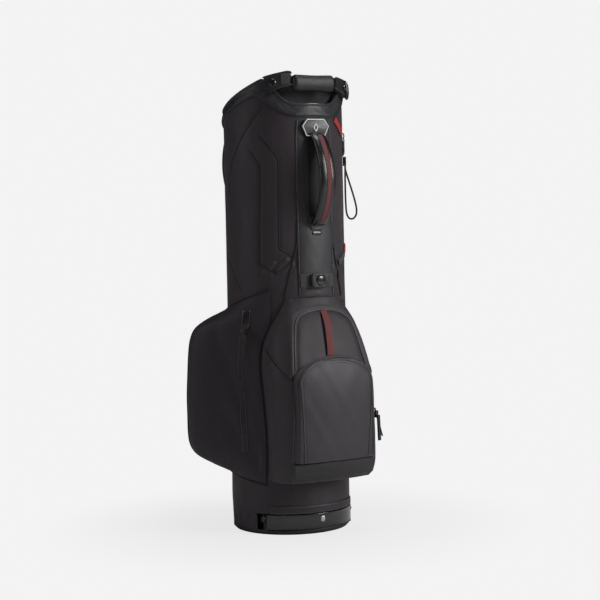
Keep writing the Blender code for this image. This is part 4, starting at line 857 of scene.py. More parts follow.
bar_leather = leather_material("bar_leather", (0.0065, 0.0060, 0.0068), (0.004, 0.004, 0.004), 0.42,
                               640.0, 0.25)
band_cloth = cloth_material("band_webbing", (0.016, 0.015, 0.017), (0.042, 0.039, 0.043), 0.0012, 0.5, 0.5)
wrap_bar()
mould_brackets()
screw_bosses()

# ---------------------------------------------------------------- club divider cloth
# Thin lining cloth that hangs full length under the divider's bars and parts the shafts.
lining = cloth_material("divider_lining", (0.010, 0.010, 0.011), (0.018, 0.018, 0.020), 0.0009, 0.75, 0.2,
                        0.1)


def hang_lining():
    """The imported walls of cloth, welded, cut finer, and set waving by two slow sines so that they hang
    like cloth between the stays."""
    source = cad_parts["divider_cloth"]
    cloth = bpy.data.objects.new("divider_lining", source.data.copy())
    scene.collection.objects.link(cloth)
    weld = cloth.modifiers.new("weld", "WELD")
    weld.merge_threshold = 1e-5
    finer = cloth.modifiers.new("finer", "SUBSURF")
    finer.subdivision_type = "SIMPLE"
    finer.levels = finer.render_levels = 2
    mesh = bpy.data.meshes.new_from_object(cloth.evaluated_get(bpy.context.evaluated_depsgraph_get()))
    cloth.modifiers.clear()
    cloth.data = mesh
    spots = np.empty(len(mesh.vertices) * 3)
    mesh.vertices.foreach_get("co", spots)
    spots = spots.reshape(-1, 3)
    low, high = spots[:, 2].min(), spots[:, 2].max()
    hang = np.sin(np.pi * (spots[:, 2] - low) / (high - low))
    spots[:, 0] += 0.0016 * hang * np.sin(spots[:, 2] * 21.0 + spots[:, 1] * 30.0)
    spots[:, 1] += 0.0016 * hang * np.sin(spots[:, 2] * 17.0 + spots[:, 0] * 26.0)
    mesh.vertices.foreach_set("co", spots.ravel())
    layer = mesh.uv_layers.new(name="UVMap")
    corner = np.empty(len(mesh.loops), int)
    mesh.loops.foreach_get("vertex_index", corner)
    layer.uv.foreach_set("vector", np.stack([spots[corner, 0] + spots[corner, 1], spots[corner, 2]],
                                            axis=1).astype(np.float32).ravel())
    mesh.materials.clear()
    mesh.materials.append(lining)
    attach(cloth, "bag")
    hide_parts("divider_cloth")


def line_hand_recess():
    """The cloth-faced foam wall inside the mouth, set back behind the bar for the fingers: its distance
    from the axis falls by a squared cosine over the front, and its top follows the undipped rim."""
    angle = np.linspace(-74.0, 74.0, 200)[None, :]
    set_back = 0.021 * np.cos(np.pi / 2 * np.clip(np.abs(angle) / 50.0, 0, 1)) ** 2
    low = np.full_like(angle, 0.7965)
    high = np.minimum(rim_plain(angle) - 0.0130, 0.8715)
    share = np.linspace(0.0, 1.0, 60)[:, None]
    height = low + (high - low) * share
    puff = 0.0012 * np.sqrt(np.maximum(0.0, 1.0 - np.abs(2 * share - 1) ** 8))
    reach = FRAME_INSIDE - 0.0012 - set_back
    front, back = polar(reach + puff, angle, height), polar(reach - 0.0020 - puff, angle, height)
    wall = closed_skin("hand_recess_lining", front_and_back(front, back), "bag", lining)
    edge = polar(reach[0] - 0.0010, angle[0], high[0] + 0.0004)
    closed_skin("hand_recess_binding", tube_rings(edge, 0.0020, taper=0.004), "bag", piping_cloth)


piping_cloth = cloth_material("piping", (0.024, 0.021, 0.024), (0.062, 0.056, 0.062), 0.0005, 0.40, 0.15,
                              0.25)
hang_lining()
line_hand_recess()

# ---------------------------------------------------------------- spine panel
# A satin panel down the front of the tube, foam-backed, with a corded piping along each side; it
# carries the badge, the handle and its lower patch.
SPINE_LOW, SPINE_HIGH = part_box("spine_panel")
satin = cloth_material("spine_satin", (0.018, 0.017, 0.019), (0.040, 0.037, 0.041), 0.0005, 0.40, 0.12,
                       0.25)


def spine_half(height):
    """Half width of the panel in degrees: full below the badge, drawn in a little at the top."""
    return 18.0 - 1.5 * np.clip((height - 0.74) / 0.05, 0, 1) ** 2


def lay_spine():
    """Front: a crowned skin whose lift falls to its edges as a fourth power; it is pinched level under
    the badge and the patch, and puffs between them."""
    share = np.linspace(-1.0, 1.0, 72)
    height = np.linspace(SPINE_LOW.z + 0.002, SPINE_HIGH.z - 0.004, 190)[:, None]
    edge = np.sqrt(np.maximum(0.0, 1.0 - np.abs(share) ** 6))
    pinch = 1.0 - 0.6 * np.exp(-((height - 0.774) / 0.028) ** 2) - 0.6 * np.exp(-((height
                                                                                   - 0.590) / 0.02) ** 2)
    puff = 0.0007 + 0.0014 * edge * pinch + soft_wave(share * 2.2, height * 45.0, 0.0003)
    end = np.clip(np.minimum(height - height[0], height[-1] - height) / 0.006, 0, 1) ** 0.5
    radius = TUBE_RADIUS + 0.0002 + puff * (0.3 + 0.7 * end)
    angle = share * spine_half(height)
    front = polar(radius, angle, height)
    back = polar(np.full_like(radius, TUBE_RADIUS - 0.0012), angle, height)
    spine = closed_skin("spine_panel_cover", front_and_back(front, back), "bag", satin)
    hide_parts("spine_panel")
    height = np.linspace(SPINE_LOW.z + 0.004, SPINE_HIGH.z - 0.006, 200)
    cords = []
    for sign in (-1, 1):
        path = polar(TUBE_RADIUS + 0.0010, sign * (spine_half(height) + 0.6), height)
        cords.append(tube_rings(path, 0.0016, taper=0.004))
    joined_skins("spine_piping", cords, "bag", piping_cloth)
    runs = []
    for sign in (-1, 1):
        path = polar(TUBE_RADIUS + 0.0014, sign * (spine_half(height) - 2.0), height)
        runs.append((path, flat_out(path)))
    sew_stitches("spine_stitches", runs, "bag", thread)


lay_spine()

# ---------------------------------------------------------------- handle badge
# A six-sided plate of pressed carbon fibre with a thin bright edge and a small plain lozenge, riveted
# over the handle's upper end.
BADGE_HEIGHT = 0.774
# Strength of the silver print's own glow: a painted highlight.
PRINT_PAINTED_GLOW = 0.22


def twill_material():
    """Carbon twill: two sets of slanted ribbons on the plate's own face, under a clear coat."""
    material, tree, shader = start_material("carbon_twill", Coat_Roughness=0.12)
    place = add_node(tree, "ShaderNodeTexCoord")
    split = add_node(tree, "ShaderNodeSeparateXYZ", {0: place.outputs["Object"]})
    across = sums(tree, "MULTIPLY", sums(tree, "ADD", split.outputs[0], split.outputs[2]), 900.0)
    along = sums(tree, "MULTIPLY", sums(tree, "SUBTRACT", split.outputs[0], split.outputs[2]), 900.0)
    ribbons = sums(tree, "MULTIPLY", sums(tree, "SINE", across, 0.0), sums(tree, "SINE", along, 0.0))
    share = add_node(tree, "ShaderNodeMapRange", {"Value": ribbons, "From Min": -0.4, "From Max": 0.4})
    marks = use_group(tree, handling_marks, {"Place": place.outputs["Object"], "Patch": 60.0})
    colour = mixed(tree, share.outputs["Result"], (0.008, 0.008, 0.009, 1.0), (0.040, 0.040, 0.042, 1.0))
    dusty = mixed(tree, sums(tree, "MULTIPLY", marks.outputs["Dust"], 0.2), colour, (0.2, 0.2, 0.2, 1.0))
    tree.links.new(dusty, shader.inputs["Base Color"])
    tree.links.new(sums(tree, "ADD", marks.outputs["Rougher"], 0.44), shader.inputs["Roughness"])
    tree.links.new(sums(tree, "SUBTRACT", 0.15, marks.outputs["Rougher"]), shader.inputs["Coat Weight"])
    return material


def metal_material(name, colour, rough, brush=(60.0, 60.0, 1500.0), metal=1.0):
    """Brushed metal: fine lines along one axis and a few dull patches."""
    material, tree, shader = start_material(name)
    place = add_node(tree, "ShaderNodeTexCoord")
    drawn = add_node(tree, "ShaderNodeVectorMath", {0: place.outputs["Object"], 1: brush},
                     operation="MULTIPLY")
    lines = add_node(tree, "ShaderNodeTexNoise", {"Vector": drawn.outputs[0], "Scale": 1.0, "Detail": 2.0})
    marks = use_group(tree, handling_marks, {"Place": place.outputs["Object"], "Patch": 30.0})
    tone = mixed(tree, lines.outputs["Fac"], tuple(c * 0.75 for c in colour) + (1.0,), (*colour, 1.0))
    dulled = mixed(tree, sums(tree, "MULTIPLY", marks.outputs["Patches"], 0.3), tone,
                   tuple(c * 0.6 for c in colour) + (1.0,))
    tree.links.new(dulled, shader.inputs["Base Color"])
    tree.links.new(sums(tree, "SUBTRACT", metal, sums(tree, "MULTIPLY", marks.outputs["Dust"], 0.3)),
                   shader.inputs["Metallic"])
    tree.links.new(sums(tree, "ADD", sums(tree, "MULTIPLY", lines.outputs["Fac"], 0.12), rough),
                   shader.inputs["Roughness"])
    return material


def bent_outline(outline, radius, centre_height, step=0.0015):
    """A flat outline, (across, up), laid on the tube at a radius and stepped evenly round."""
    corners = np.array(outline + outline[:1], float)
    flat = np.concatenate([corners, np.zeros((len(corners), 1))], axis=1)
    line = even_steps(flat, step)[:-1]
    return polar(radius, np.degrees(line[:, 0] / radius), centre_height + line[:, 1])


def rivet_badge():
    hexagon = [(-0.0285, 0.0030), (-0.0180, 0.0155), (0.0180, 0.0155), (0.0285, 0.0030),
               (0.0200, -0.0150), (-0.0200, -0.0150)]
    corners = np.array([(x, 0.0, z) for x, z in hexagon + hexagon[:1]])
    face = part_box("handle_plate")[0].y
    edge = even_steps(corners, 0.0015)[:-1] + (0.0, face - 0.0002, BADGE_HEIGHT)
    rim = tube_rings(edge, 0.0008, 0.0008, outward=np.broadcast_to((0.0, -1.0, 0.0), edge.shape), sides=8,
                     closed=True)
    closed_skin("badge_edge", rim, "bag", silver_print, round_trip=True)
    lozenge = bent_outline([(-0.0044, 0.0), (0.0, 0.0072), (0.0044, 0.0), (0.0, -0.0072)], 0.1222,
                           BADGE_HEIGHT)
    mark = tube_rings(lozenge, 0.0010, 0.0009, outward=lozenge * (1.0, 1.0, 0.0), sides=8, closed=True)
    closed_skin("badge_lozenge", mark, "bag", silver_print, round_trip=True)


bright_metal = metal_material("bright_metal", (0.72, 0.72, 0.74), 0.28)
silver_print = metal_material("silver_print", (0.86, 0.84, 0.83), 0.42, metal=0.10)
# The silver print is given a faint glow of its own: painted highlight, so that its edge reads bright.
painted_glow = silver_print.node_tree.nodes["Principled BSDF"].inputs
painted_glow["Emission Color"].default_value = (0.8, 0.78, 0.77, 1.0)
painted_glow["Emission Strength"].default_value = PRINT_PAINTED_GLOW
dress_node("handle_plate", twill_material(), 0.0006)
rivet_badge()

# ---------------------------------------------------------------- carry handle
# A leather grip over foam, arched off the spine, with a red stitched strip along its outer face; its
# lower end is sewn under a slotted patch.
HANDLE_TOP, HANDLE_SPAN = 0.760, 0.166
HANDLE_HALF, HANDLE_DEEP = 0.0165, 0.0100
HANDLE_INSIDE = 0.1214


def handle_line(count):
    """The grip's inner line: its stand-off is a flattened sine of the way down."""
    share = np.linspace(0.0, 1.0, count)
    depth = HANDLE_INSIDE + 0.035 * np.sin(np.pi * share) ** 0.8
    return share, depth, HANDLE_TOP - HANDLE_SPAN * share


def frame_of(depth, height):
    """Outward direction across the grip's slope at each step, in the upright plane."""
    along = np.stack([np.gradient(depth), np.gradient(height)], axis=1)
    along /= np.linalg.norm(along, axis=1, keepdims=True)
    return np.stack([-along[:, 1], along[:, 0]], axis=1)


def shape_handle():
    """Cross-section: a rounded D whose outer face is crowned, wider and fuller in the middle of the
    grip and thin at its two sewn ends."""
    share, depth, height = handle_line(150)
    out = frame_of(depth, height)
    turn = np.linspace(0, 2 * np.pi, 56, endpoint=False)
    wide = rounded(np.cos(turn), 0.72)
    high = np.where(np.sin(turn) > 0, np.abs(np.sin(turn)) ** 0.62, -0.35 * np.abs(np.sin(turn)) ** 0.5)
    full = 0.60 + 0.40 * np.clip(np.sin(np.pi * share) / 0.25, 0, 1) ** 0.6
    broad = 0.90 + 0.10 * np.sin(np.pi * share)
    lift = HANDLE_DEEP * full[:, None] * (0.26 + 0.74 * high)
    x = HANDLE_HALF * broad[:, None] * wide
    y = -(depth[:, None] + out[:, :1] * lift)
    z = height[:, None] + out[:, 1:] * lift
    grip = closed_skin("carry_grip", np.stack([x, y, z], axis=-1), "bag", grip_leather)
    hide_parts("carry_handle")
    return depth, height, out, full


def strip_on_handle(depth, height, out, full):
    """The red strip, a flat crowned band just proud of the grip's face, and its pale bound edges."""
    keep = slice(4, -6)
    place = depth + out[:, 0] * HANDLE_DEEP * full * 1.0, height + out[:, 1] * HANDLE_DEEP * full * 1.0
    path = np.stack([np.zeros(150), -place[0], place[1]], axis=1)[keep]
    outward = np.stack([np.zeros(150), -out[:, 0], out[:, 1]], axis=1)[keep]
    path = path + outward * 0.00005
    band = tube_rings(path, 0.0046, 0.0008, outward=outward, sides=16, taper=0.004)
    closed_skin("grip_strip", band, "bag", red_webbing)
    sides, edges = [], []
    for sign in (-1, 1):
        beside = path + np.array((sign * 0.0031, 0.0, 0.0)) + outward * 0.0006
        sides.append((beside, outward))
        edge = path + np.array((sign * 0.0050, 0.0, 0.0)) + outward * 0.0001
        edges.append(tube_rings(edge, 0.0004, 0.0004, outward=outward, sides=8, taper=0.003))
    joined_skins("grip_strip_edges", edges, "bag", piping_cloth)
    sew_stitches("grip_stitches", sides, "bag", red_thread, 0.0030, 0.0016, 0.0004, 0.0005)


grip_leather = leather_material("grip_leather", (0.007, 0.007, 0.008), (0.004, 0.004, 0.004), 0.26, 700.0,
                                0.15, 0.5)
red_webbing = cloth_material("red_webbing", (0.090, 0.012, 0.016), (0.210, 0.036, 0.040), 0.0009, 0.60,
                             0.5, 0.1)
red_tab_cloth = cloth_material("red_tab", (0.260, 0.006, 0.014), (0.520, 0.020, 0.034), 0.0009, 0.55, 0.4,
                               0.1)
red_thread = cloth_material("red_thread", (0.160, 0.030, 0.034), (0.300, 0.070, 0.072), 0.0004, 0.5, 0.3)
strip_on_handle(*shape_handle())


def lay_handle_shade_band():
    """A flat near-black band down the spine between the handle's two ends: painted shade where the handle's
    shadow falls.
    """
    height = np.linspace(0.606, 0.756, 60)[:, None]
    across = np.linspace(-1.0, 1.0, 24)[None, :]
    half = 7.4 * np.clip(np.minimum(height - 0.604, 0.758 - height) / 0.006, 0.2, 1.0) ** 0.5
    angle = half * across
    crown = 0.0007 * np.sqrt(1.0 - across ** 6)
    front = polar(0.1192 + crown + 0 * height, angle, height + 0 * across)
    back = polar(0.1186 + 0 * (crown + height), angle, height + 0 * across)
    shade_band = closed_skin("handle_shade_band", front_and_back(front, back), "bag", handle_shade_cloth)


# Near-black cloth for the band under the handle: painted shade.
handle_shade_cloth = cloth_material("handle_shade_band", (0.0012, 0.0011, 0.0013), (0.0040, 0.0036, 0.0040), 0.0012, 0.7,
                           0.3, 0.0)
lay_handle_shade_band()

# ---------------------------------------------------------------- handle patch and buckle
# A woven patch holds the handle's lower end; below it a band with a square buckle and a press button
# crosses the spine.
PATCH_LOW, PATCH_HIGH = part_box("handle_anchor")


def sew_patch():
    """Two panels: the main one narrows to a blunt V at its foot, and a smaller dark tab lies under it."""
    share = np.linspace(-1.0, 1.0, 40)
    rows = np.linspace(0.0, 1.0, 30)[:, None]
    half = 0.0165 * (0.62 + 0.38 * np.clip(rows / 0.45, 0, 1) ** 0.7)
    height = PATCH_LOW.z + (PATCH_HIGH.z - PATCH_LOW.z) * rows
    edge = np.sqrt(np.maximum(0.0, 1.0 - np.abs(share) ** 8)) * np.clip(
        np.minimum(rows, 1 - rows) / 0.06, 0.2, 1) ** 0.5
    radius = 0.1178 + 0.0022 * edge
    angle = np.degrees(share * half / TUBE_RADIUS)
    front, back = polar(radius, angle, height), polar(np.full_like(radius, 0.1168), angle, height)
    patch = closed_skin("handle_patch", front_and_back(front, back), "bag", satin)
    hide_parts("handle_anchor")
    runs = []
    for inset in (0.0, 0.0026):
        corners = [(-0.0135 + inset, 0.6030), (-0.0135 + inset, 0.5930),
                   (-0.0080 + inset * 0.7, 0.5825 + inset),
                   (0.0080 - inset * 0.7, 0.5825 + inset), (0.0135 - inset, 0.5930), (0.0135 - inset,
                                                                                      0.6030)]
        flat = even_steps(np.array([(x, z, 0.0) for x, z in corners]), 0.002)
        path = polar(0.1202, np.degrees(flat[:, 0] / TUBE_RADIUS), flat[:, 1])
        runs.append((path, flat_out(path)))
    sew_stitches("patch_stitches", runs, "bag", pale_thread)
    slot_rings = tube_rings(polar(0.1178, np.linspace(-5.2, 5.2, 24), 0.5745), 0.0040, 0.0009, taper=0.003)
    closed_skin("patch_slot_tab", slot_rings, "bag", grip_leather)


def thread_band():
    """A flat strap bent round the tube: its edges are rounded, and it dips into the buckle's bars."""
    angle = np.linspace(-17.8, 17.8, 80)
    section = np.linspace(0, 2 * np.pi, 24, endpoint=False)
    across = rounded(np.cos(section), 0.3)
    lift = rounded(np.sin(section), 0.5)
    radius = 0.1187 + 0.0009 * lift[None, :] - 0.0003 * np.exp(-(angle / 11.0) ** 2)[:, None]
    rings = polar(radius, angle[:, None], 0.485 + 0.0128 * across[None, :])
    band = closed_skin("buckle_strap", rings, "bag", band_cloth)
    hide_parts("buckle_band")


pale_thread = cloth_material("pale_thread", (0.090, 0.088, 0.092), (0.160, 0.155, 0.160), 0.0004, 0.5, 0.3)
sew_patch()
thread_band()
dress_node("buckle_body", matte_moulding, 0.0008)
dress_node("buckle_button", gloss_moulding, 0.0006)

# ---------------------------------------------------------------- ball pocket
# The big front pocket: nylon panels over a thin foam, shaped by darts at its shoulders, with a corded
# piping round the door's arch and a slanted seam where its side panel is set in.
POCKET_BASE, POCKET_TOP = 0.108, 0.452
POCKET_DEPTH, POCKET_HALF = 0.058, 0.092
POCKET_FOOT, POCKET_BACK = 0.1188, 0.1164
BULGE = [(0.0, 0.80), (0.08, 0.96), (0.30, 1.0), (0.55, 0.96), (0.72, 0.75), (0.86, 0.46), (0.95, 0.18),
         (1.0, 0.06)]
WIDTH = [(0.0, 0.95), (0.30, 1.0), (0.55, 0.98), (0.72, 0.90), (0.86, 0.77), (0.95, 0.63), (1.0, 0.52)]
SIDES = [(0.0, 52.0), (0.20, 51.0), (0.42, 53.0), (0.62, 56.0), (0.74, 54.0), (0.85, 46.0), (1.0, 31.0)]
DOOR_ARCH = [  # angle and height of the door's piping, left to right
    (-27.3, 0.3040), (-26.6, 0.3225), (-26.2, 0.3642), (-25.4, 0.3950), (-24.6, 0.4080), (-21.4, 0.4187),
    (-13.4, 0.4268), (-2.3, 0.4298), (7.8, 0.4285), (16.7, 0.4240), (22.0, 0.4150), (24.3, 0.4040),
    (24.6, 0.3773), (25.0, 0.3425), (26.0, 0.3249), (27.0, 0.3050)]
DOOR_FOOT = 0.3040
SIDE_SEAM = [(-50.5, 0.3560), (-44.4, 0.3438), (-37.6, 0.3262), (-32.4, 0.3132), (-28.0, 0.3020)]


def smooth_table(table, at):
    """Cubic Hermite curve through a short table of (place, value); each slope is the chord between the
    neighbours on either side."""
    x, y = np.array(table).T
    slope = np.empty_like(y)
    slope[1:-1] = (y[2:] - y[:-2]) / (x[2:] - x[:-2])
    slope[0], slope[-1] = (y[1] - y[0]) / (x[1] - x[0]), (y[-1] - y[-2]) / (x[-1] - x[-2])
    at = np.clip(at, x[0], x[-1])
    k = np.clip(np.searchsorted(x, at, side="right") - 1, 0, len(x) - 2)
    span = x[k + 1] - x[k]
    t = (at - x[k]) / span
    return ((2 * t ** 3 - 3 * t ** 2 + 1) * y[k] + (t ** 3 - 2 * t ** 2 + t) * slope[k] * span
            + (3 * t ** 2 - 2 * t ** 3) * y[k + 1] + (t ** 3 - t ** 2) * slope[k + 1] * span)


def pocket_sections(height, count):
    """Plan outlines at the given heights: eight knots a side, the crowned face, the corner, the swelling
    side and the foot at the tube, smoothed through and read at the given number of places."""
    height = np.atleast_1d(height)
    share = (height - POCKET_BASE) / (POCKET_TOP - POCKET_BASE)
    full = smooth_table(BULGE, share)
    half = POCKET_HALF * smooth_table(WIDTH, share)
    face = -(TUBE_RADIUS + POCKET_DEPTH * full)
    foot = polar(POCKET_FOOT, smooth_table(SIDES, share), 0.0)[:, :2]
    corner = np.stack([half, face + 0.011], axis=1)
    swell = np.stack([0.013 * full, np.zeros_like(full)], axis=1)
    side = (corner + foot) / 2 + swell
    near = (corner + side) / 2 + swell * 0.35
    run = [np.stack([half * k, face + rise], axis=1)
           for k, rise in ((0.0, 0.0), (0.35, 0.00088), (0.68, 0.00396), (0.90, 0.0077))]
    run = np.stack(run + [corner, near, side, (side + foot) / 2, foot], axis=1)
    reach = np.maximum(np.linalg.norm(run, axis=2), POCKET_FOOT)
    run *= (reach / np.linalg.norm(run, axis=2))[:, :, None]
    left = run[:, :0:-1] * (-1.0, 1.0)
    return spline_through(np.concatenate([left, run], axis=1), count)


POCKET_ANGLES = np.linspace(-56.0, 56.0, 449)
POCKET_HEIGHTS = np.linspace(POCKET_BASE, POCKET_TOP, 345)


def pocket_reach_table():
    """Distance of the pocket's cloth from the tube's axis, by height and angle."""
    plan = pocket_sections(POCKET_HEIGHTS, 321)
    angle = np.degrees(np.arctan2(plan[..., 0], -plan[..., 1]))
    reach = np.linalg.norm(plan, axis=2)
    return np.stack([np.interp(POCKET_ANGLES, a, r) for a, r in zip(angle, reach)])


POCKET_REACH = pocket_reach_table()


def pocket_reach(angle, height):
    """The same distance at any place on the pocket, weighted between the table's four nearest values."""
    a = np.clip((angle - POCKET_ANGLES[0]) / (POCKET_ANGLES[1] - POCKET_ANGLES[0]), 0, 447.999)
    h = np.clip((height - POCKET_BASE) / (POCKET_TOP - POCKET_BASE) * 344.0, 0, 343.999)
    i, j = h.astype(int), a.astype(int)
    u, v = h - i, a - j
    return ((1 - u) * (1 - v) * POCKET_REACH[i, j] + (1 - u) * v * POCKET_REACH[i, j + 1]
            + u * (1 - v) * POCKET_REACH[i + 1, j] + u * v * POCKET_REACH[i + 1, j + 1])


def pocket_relief(angle, height):
    """The cloth between the seams: slow ripples, a pressed valley along the door's arch and the side
    seam, and slack drags that run down from the shoulders."""
    relief = soft_wave(np.radians(angle) * 7.0, height * 26.0, 0.0006)
    for line in (DOOR_ARCH, SIDE_SEAM):
        relief = relief - 0.0016 * np.exp(-(from_line(angle, height, line) / 0.005) ** 2)
    for side in (-1.0, 1.0):
        drag = from_line(angle, height, [(side * 30.0, 0.425), (side * 41.0, 0.375)])
        relief = relief + 0.0009 * np.exp(-(drag / 0.008) ** 2)
        drag = from_line(angle, height, [(side * 33.0, 0.285), (side * 45.0, 0.200)])
        relief = relief - 0.0005 * np.exp(-(drag / 0.012) ** 2)
    return relief


def on_pocket(corners, lift, step=0.002, spline=True):
    """A line on the ball pocket through angle and height corners, at a height off its cloth."""
    line = np.array([(a, z * 1000.0, 0.0) for a, z in corners])
    line = spline_through(line, 40 * len(corners)) if spline else line
    angle, height = line[:, 0], line[:, 1] / 1000.0
    reach = pocket_reach(angle, height) + pocket_relief(angle, height) + lift
    return even_steps(polar(reach, angle, height), step)


def along_pocket(x, height, lift):
    """Points on the pocket's face at a distance across and a height, with a lift straight off it."""
    angle = np.degrees(np.arcsin(np.clip(x / 0.165, -0.9, 0.9)))
    for _ in range(6):
        angle = np.degrees(np.arcsin(np.clip(x / pocket_reach(angle, height), -0.9, 0.9)))
    return polar(pocket_reach(angle, height) + pocket_relief(angle, height) + lift, angle, height)


def sew_ball_pocket():
    """Front: the smoothed outlines with the relief added away from the axis; back: close to the tube."""
    low = np.array([0.0, 0.0008, 0.0025, 0.005])
    height = np.concatenate([POCKET_BASE + low, np.linspace(POCKET_BASE + 0.008, POCKET_TOP - 0.004, 168),
                             [POCKET_TOP - 0.0015, POCKET_TOP]])
    plan = pocket_sections(height, 180)
    angle = np.degrees(np.arctan2(plan[..., 0], -plan[..., 1]))
    reach = np.linalg.norm(plan, axis=2)
    rounding = np.interp(height, [POCKET_BASE, POCKET_BASE + 0.0008, POCKET_BASE + 0.0025,
                                  POCKET_BASE + 0.006, POCKET_TOP - 0.003, POCKET_TOP],
                         [0.955, 0.978, 0.992, 1.0, 1.0, 0.993])[:, None]
    inner_edge = np.clip(np.minimum(angle - angle[:, :1], angle[:, -1:] - angle) / 4.0, 0, 1)
    reach = TUBE_RADIUS + (reach - TUBE_RADIUS) * rounding + pocket_relief(angle,
                                                                           height[:, None]) * inner_edge
    front = polar(reach, angle, height[:, None])
    back = polar(np.full_like(reach, POCKET_BACK), angle, height[:, None])
    pocket = closed_skin("ball_pocket_cover", front_and_back(front, back), "bag", nylon)
    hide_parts("ball_pocket")


def pipe_ball_pocket():
    """Corded piping round the door and down its two sides, low ridges along the side seams and the
    pocket's edges, and stitches beside them."""
    arch = on_pocket(DOOR_ARCH, 0.0009)
    left = on_pocket([(-27.3, 0.3040), (-27.8, 0.2600), (-28.5, 0.2000), (-29.2, 0.1560), (-29.6, 0.1120)],
                     0.0006)
    right = on_pocket([(27.0, 0.3050), (27.8, 0.2600), (28.5, 0.2000), (29.2, 0.1560), (29.6, 0.1120)],
                      0.0006)
    seams = [on_pocket([(a * side, z) for a, z in SIDE_SEAM], 0.0005) for side in (1, -1)]
    cords = [tube_rings(arch, 0.0017, sides=12, taper=0.003), tube_rings(left, 0.0014, taper=0.003),
             tube_rings(right, 0.0014, taper=0.003)]
    joined_skins("ball_pocket_piping", cords, "bag", piping_cloth)
    dark = [tube_rings(path, 0.0015, 0.0009, taper=0.004) for path in seams]
    joined_skins("ball_pocket_seams", dark, "bag", seam_shade)
    inner = on_pocket([(a * 0.90, DOOR_FOOT + (z - DOOR_FOOT) * 0.965) for a, z in DOOR_ARCH], 0.0004)
    runs = [(inner, flat_out(inner))]
    for path in seams:
        beside = path + np.array((0.0, 0.0, -0.0035))
        runs.append((beside, flat_out(beside)))
    sew_stitches("ball_pocket_stitches", runs, "bag", thread)
    share = np.linspace(0.0, 1.0, 200)
    height = POCKET_BASE + 0.004 + (POCKET_TOP - POCKET_BASE - 0.008) * share
    edges = []
    for side in (-1, 1):
        angle = side * (smooth_table(SIDES, (height - POCKET_BASE) / (POCKET_TOP - POCKET_BASE)) + 0.3)
        edges.append(tube_rings(polar(np.full(200, 0.1184), angle, height), 0.0017, taper=0.005))
    for side in (-1, 1):
        yoke = on_wall([(side * 19.6, 0.600), (side * 19.6, 0.556), (side * 22.7, 0.534),
                        (side * 33.0, 0.4526)],
                       0.0008)
        edges.append(tube_rings(yoke, 0.0017, taper=0.005))
    joined_skins("ball_pocket_edges", edges, "bag", seam_shade)


sew_ball_pocket()
pipe_ball_pocket()

# ---------------------------------------------------------------- accessory pocket
# A smaller pocket on the ball pocket's face: a flat front panel and a zipped side strip, a corded piping
# round each, over a band of leather-look cloth that hems both pockets.
BASE_OUTLINE = (0.0835, 0.3010, 0.0430)    # half width, height where its arch starts, rise of the arch
FRONT_OUTLINE = (0.0735, 0.2980, 0.0400)
HEM_LOW, HEM_HIGH = 0.114, 0.148
# Nylon painted lighter than the tube's for the front-facing accessory pocket: painted light.
pocket_face_lit = cloth_material("pocket_face_lit", (0.0208, 0.0166, 0.0208), (0.0425, 0.0345, 0.0425), 0.0006,
                             0.46,
                             0.22, 0.14)


def arch_half(outline, height, power=1.85, spread=0.05):
    """Half width of an arched panel: above its spring it closes as a superellipse, and below it opens
    by a small share of the way down."""
    half, spring, rise = outline
    up = np.clip((height - spring) / rise, 0.0, 1.0)
    down = np.clip((spring - height) / 0.15, 0.0, 1.0)
    return half * np.maximum(0.0, 1.0 - up ** power) ** (1.0 / power) * (1.0 + spread * down)


def arch_path(outline, low, spread, count=260):
    """The panel's edge from its left foot over the arch to its right foot: straight sides in height, and
    the arch stepped by its angle."""
    half, spring, rise = outline
    side = np.linspace(low, spring, count // 4, endpoint=False)
    turn = np.linspace(0.0, np.pi, count)
    arch_x = -half * np.sign(np.cos(turn)) * np.abs(np.cos(turn)) ** (2 / 1.85)
    arch_z = spring + rise * np.abs(np.sin(turn)) ** (2 / 1.85)
    left = -arch_half(outline, side, spread=spread)
    x = np.concatenate([left, arch_x, -left[::-1]])
    z = np.concatenate([side, arch_z, side[::-1]])
    flat = even_steps(np.stack([x, z, np.zeros_like(x)], axis=1), 0.002)
    return flat[:, 0], flat[:, 1]


ACCESSORY_PROUD = 0.0105


